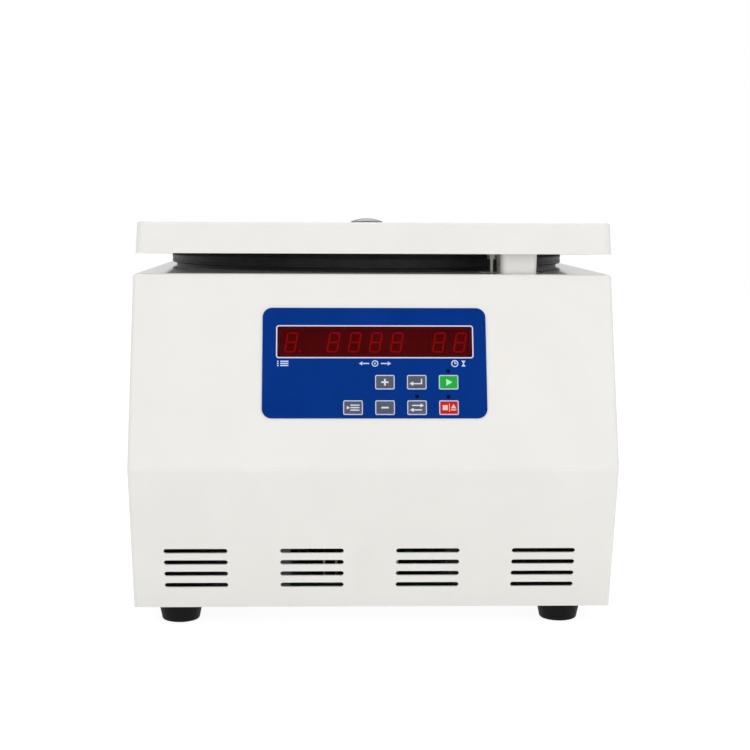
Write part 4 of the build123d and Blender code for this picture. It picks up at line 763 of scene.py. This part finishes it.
def spinIcon(x, up, ink):
    # a plate circling its hub, with an arrowhead each way
    pieces = [ring(x, up, 5.8, 5.8, 2.85, 0.85, ink), disc(x, up, 0.8, ink * 1.02)]
    for side in (-1, 1):
        pieces.append(bar(x + side * 8.0, up, 5.6, 1.05, ink))
        pieces.append(triangle(x + side * 12.2, up, 2.1, ink * 1.02, 0 if side > 0 else 180))
    return pieces


def clockIcon(x, up, ink):
    return [
        ring(x - 3.9, up, 6.4, 6.4, 3.1, 0.95, ink),
        bar(x - 3.9, up + 0.95, 0.85, 2.1, ink * 1.02),
        bar(x - 3.2, up, 1.8, 0.85, ink * 1.03),
        triangle(x + 3.8, up + 1.6, 2.1, ink, -90),
        triangle(x + 3.8, up - 1.6, 2.1, ink * 1.02, 90),
    ]


def makeIcons(s):
    for name, sign in (("left", listIcon), ("middle", spinIcon), ("right", clockIcon)):
        pieces = sign(s[name], s["row"], s["ink"])
        ontoPanel(pieces, name + "WindowIcon", iconInk, "housing", s["level"])


makeIcons(iconSettings)

# small lens dots above three keys, unlit
dotSettings = {"places": ((65.7, 87.9), (38.0, 64.9), (65.7, 64.6)), "radius": 1.8, "ink": 0.06, "level": 1.0}


def makeDots(s):
    for index, (x, up) in enumerate(s["places"]):
        dot = disc(x, up, s["radius"], s["ink"])
        ontoPanel([dot], f"keyLampDot{index}", darkLens, "housing", s["level"])


makeDots(dotSettings)
print("keys and icons made")


# rear panel: plain signs beside the switch and the fuses
rearSettings = {
    "panelY": 269.966,
    "signLevel": 62.0,
    "rocker": 59.966,
    "rockerPivotDepth": 3.2,
    "rockerTilt": 11.0,
    "rockerMiddle": 2.546,
    "rockerSlope": 4.68,
    "rockerMark": 6.6,
    "onMark": (0.8, 4.2),
    "offMark": (4.2, 4.2, 2.0, 0.75),
    "fuses": (15.966, -12.034),
    "fuseDrop": 13.5,
    "fuseBody": (7.0, 2.8, 0.3, 0.5),
    "fuseLead": (11.0, 0.5),
    "ink": 0.06,
    "inkOver": 1.1,
}


def makeRockerMarks(s):
    # the two faces of the rocker, tilted with it
    pivot = Vector((s["rocker"], s["panelY"] - s["rockerPivotDepth"], s["signLevel"])) * mm
    tilt = Matrix.Rotation(radians(s["rockerTilt"]), 4, "Z")
    lean = Matrix.Translation(pivot) @ tilt @ Matrix.Translation(-pivot)
    for side, name in ((-1, "rockerOnMark"), (1, "rockerOffMark")):
        slope = radians(s["rockerSlope"]) * side
        across = (-cos(slope), -sin(slope), 0)
        out = s["rockerMiddle"] + s["rockerMark"] * sin(radians(s["rockerSlope"])) / cos(slope)
        origin = (s["rocker"] + side * s["rockerMark"], s["panelY"] + out, s["signLevel"])
        place = lean @ planeMatrix(origin, across, (0, 0, 1))
        if side < 0:
            pieces = [bar(0, 0, *s["onMark"], s["ink"])]
        else:
            pieces = [ring(0, 0, *s["offMark"], s["ink"])]
        settle(joined(pieces), name, paleInk, "rocker", place)


def makeFuseSigns(s):
    for index, x in enumerate(s["fuses"]):
        pieces = [
            ring(0, 0, *s["fuseBody"], s["ink"]),
            bar(0, 0, *s["fuseLead"], s["ink"] * s["inkOver"]),
        ]
        place = planeMatrix((x, s["panelY"], s["signLevel"] - s["fuseDrop"]), (-1, 0, 0), (0, 0, 1))
        settle(joined(pieces), f"fuseSign{index}", slateInk, "housing", place)


makeRockerMarks(rearSettings)
makeFuseSigns(rearSettings)

# chamber: ribbed pads in the plate carriers, with a number on each
carrierSettings = {
    "trunnion": 83.0,
    "chamberY": 25.0,
    "floor": 195.5,
    "pad": (84.6, 127.0),
    "padThick": 1.0,
    "ribDepth": 0.6,
    "ribs": 11,
    "ribInset": 0.12,
    "faceUp": 0.9,
    "numberSpace": 12,
    "digitTall": 14.0,
    "digitWide": 0.5,
    "digitLine": 0.14,
    "digitThick": 0.4,
}


def ribbedPad(s):
    # a mat with raised ribs along its length
    clearSelection()
    bpy.ops.mesh.primitive_grid_add(x_subdivisions=2 * s["ribs"] + 1, y_subdivisions=1, size=1)
    piece = bpy.context.object
    piece.scale = (s["pad"][0] * mm, s["pad"][1] * mm, 1)
    bpy.ops.object.transform_apply(location=False, rotation=False, scale=True)
    bpy.ops.object.mode_set(mode="EDIT")
    bpy.ops.mesh.select_all(action="SELECT")
    bpy.ops.mesh.extrude_region_move(TRANSFORM_OT_translate={"value": (0, 0, s["padThick"] * mm)})
    bpy.ops.mesh.select_all(action="SELECT")
    bpy.ops.mesh.normals_make_consistent(inside=False)
    wide = s["pad"][0] * mm / (2 * s["ribs"] + 1)

    def onRib(face):
        if face.normal.z < s["faceUp"]:
            return False
        place = int((face.center.x + s["pad"][0] * mm / 2) / wide)
        return place % 2 == 1 and abs(face.center.x) > s["numberSpace"] * mm

    pickFaces(piece, onRib)
    bpy.ops.mesh.inset(thickness=wide * s["ribInset"], depth=0, use_individual=True)
    bpy.ops.mesh.extrude_faces_move(TRANSFORM_OT_shrink_fatten={"value": s["ribDepth"] * mm})
    bpy.ops.object.mode_set(mode="OBJECT")
    return piece


# a 1 or a 2; width and line are shares of the height
def numberPieces(s, number):
    tall, thick = s["digitTall"], s["digitThick"]
    wide = tall * s["digitWide"]
    line = tall * s["digitLine"]
    if number == 1:
        return [
            bar(0, 0, line, tall, thick),
            bar(-tall * 0.11, tall * 0.4, line, tall * 0.3, thick * 1.02, -50),
            bar(0, -tall * 0.45, wide * 0.8, line, thick * 1.04),
        ]
    return [
        bar(0, tall / 2 - line / 2, wide, line, thick),
        bar(wide / 2 - line / 2, tall / 4, line, tall / 2, thick * 1.02),
        bar(0, 0, wide, line, thick * 1.04),
        bar(-wide / 2 + line / 2, -tall / 4, line, tall / 2, thick * 1.06),
        bar(0, -tall / 2 + line / 2, wide, line, thick * 1.08),
    ]


def makeCarrierPads(s):
    for side, node, number in ((1, "carrier_a", 1), (-1, "carrier_b", 2)):
        middle = (side * s["trunnion"], s["chamberY"], s["floor"])
        place = planeMatrix(middle, (1, 0, 0), (0, 1, 0))
        settle(ribbedPad(s), node + "Pad", siliconePad, node, place)
        above = (middle[0], middle[1], middle[2] + s["padThick"])
        place = planeMatrix(above, (1, 0, 0), (0, 1, 0))
        settle(joined(numberPieces(s, number)), node + "Number", paleInk, node, place)


makeCarrierPads(carrierSettings)
print("rear signs and chamber pads made")

# drive board: chips, a row of resistors and two relays
boardSettings = {
    "middle": (0.0, -159.966),
    "top": 32.6,
    "chips": (
        # x, y from the board's middle, width, depth, height
        (-20, 12, 14, 14, 2.2),
        (-44, 22, 18, 8, 3.0),
        (6, -20, 22, 9, 3.4),
        (-22, -24, 12, 9, 2.6),
    ),
    "relays": ((48, -22, 19, 15.5, 15), (48, -4, 19, 15.5, 15)),
    "resistors": 9,
    "resistorFirst": (-60, -38),
    "resistorPitch": 6.5,
    "resistorSize": (3.2, 1.8, 1.1),
    # rounding of the edges
    "chipEdge": 0.3,
    "resistorEdge": 0.2,
    "relayEdge": 0.8,
}


def boxPart(x, y, low, width, depth, height, edge):
    clearSelection()
    bpy.ops.mesh.primitive_cube_add(size=1, location=(0, 0, 0.5))
    piece = bpy.context.object
    bpy.ops.object.transform_apply(location=True, rotation=False, scale=False)
    piece.scale = (width * mm, depth * mm, height * mm)
    bpy.ops.object.transform_apply(location=False, rotation=False, scale=True)
    bpy.ops.object.mode_set(mode="EDIT")
    bpy.ops.mesh.select_all(action="SELECT")
    bpy.ops.mesh.bevel(offset=edge * mm, segments=2, affect="EDGES")
    bpy.ops.object.mode_set(mode="OBJECT")
    piece.location = (x * mm, y * mm, low * mm)
    return piece


def makeBoardParts(s):
    x0, y0 = s["middle"]
    chips = [boxPart(x0 + x, y0 + y, s["top"], *size, s["chipEdge"]) for x, y, *size in s["chips"]]
    firstX, firstY = s["resistorFirst"]
    for index in range(s["resistors"]):
        x = x0 + firstX + index * s["resistorPitch"]
        chips.append(boxPart(x, y0 + firstY, s["top"], *s["resistorSize"], s["resistorEdge"]))
    settle(joined(chips), "driveBoardChips", blackPlastic, "housing")
    relays = [boxPart(x0 + x, y0 + y, s["top"], *size, s["relayEdge"]) for x, y, *size in s["relays"]]
    settle(joined(relays), "driveBoardRelays", relayBlack, "housing")


makeBoardParts(boardSettings)


# lid: a black gasket under the sight glass's flange
lidSettings = {
    "hinge": (0.0, 259.466, 328.5),
    "ajar": 1.82,
    "top": 349.5,
    "glass": (0.0, 25.0),
    "gasketOuter": 22.9,
    "gasketInner": 20.9,
    "gasketThick": 0.8,
    "gasketRound": 0.3,
    "gasketPoints": 96,
}


def lidMatrix(s):
    hinge = Vector(s["hinge"]) * mm
    opened = Matrix.Rotation(radians(-s["ajar"]), 4, "X")
    return Matrix.Translation(hinge) @ opened @ Matrix.Translation(-hinge)


def roundGasket(outer, inner, thick, roundOff, points):
    clearSelection()
    bpy.ops.mesh.primitive_circle_add(vertices=points, radius=outer * mm, fill_type="NGON")
    piece = bpy.context.object
    bpy.ops.object.mode_set(mode="EDIT")
    bpy.ops.mesh.select_all(action="SELECT")
    bpy.ops.mesh.inset(thickness=(outer - inner) * mm)
    bpy.ops.mesh.delete(type="FACE")
    bpy.ops.mesh.select_all(action="SELECT")
    bpy.ops.mesh.extrude_region_move(TRANSFORM_OT_translate={"value": (0, 0, thick * mm)})
    bpy.ops.mesh.region_to_loop()
    bpy.ops.mesh.bevel(offset=roundOff * mm, segments=3, affect="EDGES")
    bpy.ops.mesh.select_all(action="SELECT")
    bpy.ops.mesh.normals_make_consistent(inside=False)
    bpy.ops.object.mode_set(mode="OBJECT")
    return piece


def makeGlassGasket(s):
    sizes = (s["gasketOuter"], s["gasketInner"], s["gasketThick"], s["gasketRound"])
    piece = roundGasket(*sizes, s["gasketPoints"])
    place = lidMatrix(s) @ Matrix.Translation(Vector((*s["glass"], s["top"])) * mm)
    settle(piece, "sightGlassGasket", sealRubber, "lid", place)


makeGlassGasket(lidSettings)
print("board parts and gasket made")


# floor, world and lamps
def whiteToCamera(tree, lit, mirrored, seen):
    # the camera and glass see one plain tone, mirrors a second, everything else the lit one
    path = addNode(tree, "ShaderNodeLightPath")
    gloss = addNode(tree, "ShaderNodeMixShader", links={
        "Fac": path.outputs["Is Glossy Ray"],
        1: lit,
        2: mirrored,
    })
    direct = addNode(tree, "ShaderNodeMath", {"operation": "MAXIMUM"}, {
        0: path.outputs["Is Camera Ray"],
        1: path.outputs["Is Transmission Ray"],
    })
    return addNode(tree, "ShaderNodeMixShader", links={
        "Fac": direct.outputs[0],
        1: gloss.outputs[0],
        2: seen,
    })


stageSettings = {
    "floorSize": 9.0,
    "floorTone": "#f7f7f6",
    "worldLight": 0.45,
    "worldMirrored": 0.77,
    "floorGlow": 1.18,
    "glowShare": 0.78,
    "lamps": (
        # name, place, size, power, aimed at, and whether mirrors show it: the images of the
        # front lamps would whiten the lid's top as seen from behind
        ("keySoftbox", (-1.5, -1.9, 2.2), 2.4, 27.5, (0, -0.1, 0.2), False),
        ("fillSoftbox", (1.9, -2.0, 1.0), 2.0, 17.5, (0, -0.1, 0.2), False),
        ("frontSoftbox", (0, -3.4, 0.42), 2.4, 12.6, (0, 0, 0.22), False),
        ("topSoftbox", (0, 0.3, 2.4), 2.2, 6, (0, 0, 0.3), True),
        ("backSoftbox", (0.3, 2.4, 2.7), 1.8, 13, (0, 0, 0.25), True),
    ),
}


def makeStage(s):
    world = bpy.data.worlds.new("studio")
    bpy.context.scene.world = world
    world.use_nodes = True
    tree = world.node_tree
    tree.nodes.clear()
    soft = addNode(tree, "ShaderNodeBackground", {"Color": (1, 1, 1, 1), "Strength": s["worldLight"]})
    gloss = addNode(tree, "ShaderNodeBackground", {"Color": (1, 1, 1, 1), "Strength": s["worldMirrored"]})
    plain = addNode(tree, "ShaderNodeBackground", {"Color": (1, 1, 1, 1), "Strength": 1.0})
    mix = whiteToCamera(tree, soft.outputs[0], gloss.outputs[0], plain.outputs[0])
    addNode(tree, "ShaderNodeOutputWorld", links={"Surface": mix.outputs[0]})

    clearSelection()
    bpy.ops.mesh.primitive_plane_add(size=s["floorSize"], location=(0, 0, 0))
    floor = bpy.context.object
    floor.name = "studioFloor"
    material = bpy.data.materials.new("paintedStudioFloor")
    material.use_nodes = True
    tree = material.node_tree
    tree.nodes.clear()
    matt = addNode(tree, "ShaderNodeBsdfDiffuse", {"Color": linear(s["floorTone"])})
    glow = addNode(tree, "ShaderNodeEmission", {"Color": (1, 1, 1, 1), "Strength": s["floorGlow"]})
    pale = addNode(tree, "ShaderNodeMixShader", {"Fac": s["glowShare"]}, {
        1: matt.outputs[0],
        2: glow.outputs[0],
    })
    mix = whiteToCamera(tree, matt.outputs[0], pale.outputs[0], pale.outputs[0])
    addNode(tree, "ShaderNodeOutputMaterial", links={"Surface": mix.outputs[0]})
    floor.data.materials.append(material)

    for name, place, size, power, target, mirrored in s["lamps"]:
        bpy.ops.object.light_add(type="AREA", location=place)
        lamp = bpy.context.object
        lamp.name = name
        lamp.data.size = size
        lamp.data.energy = power
        lamp.visible_glossy = mirrored
        aim = Vector(target) - Vector(place)
        lamp.rotation_euler = aim.to_track_quat("-Z", "Y").to_euler()
    bpy.context.scene.view_settings.view_transform = "Standard"
    print("stage ready")


makeStage(stageSettings)
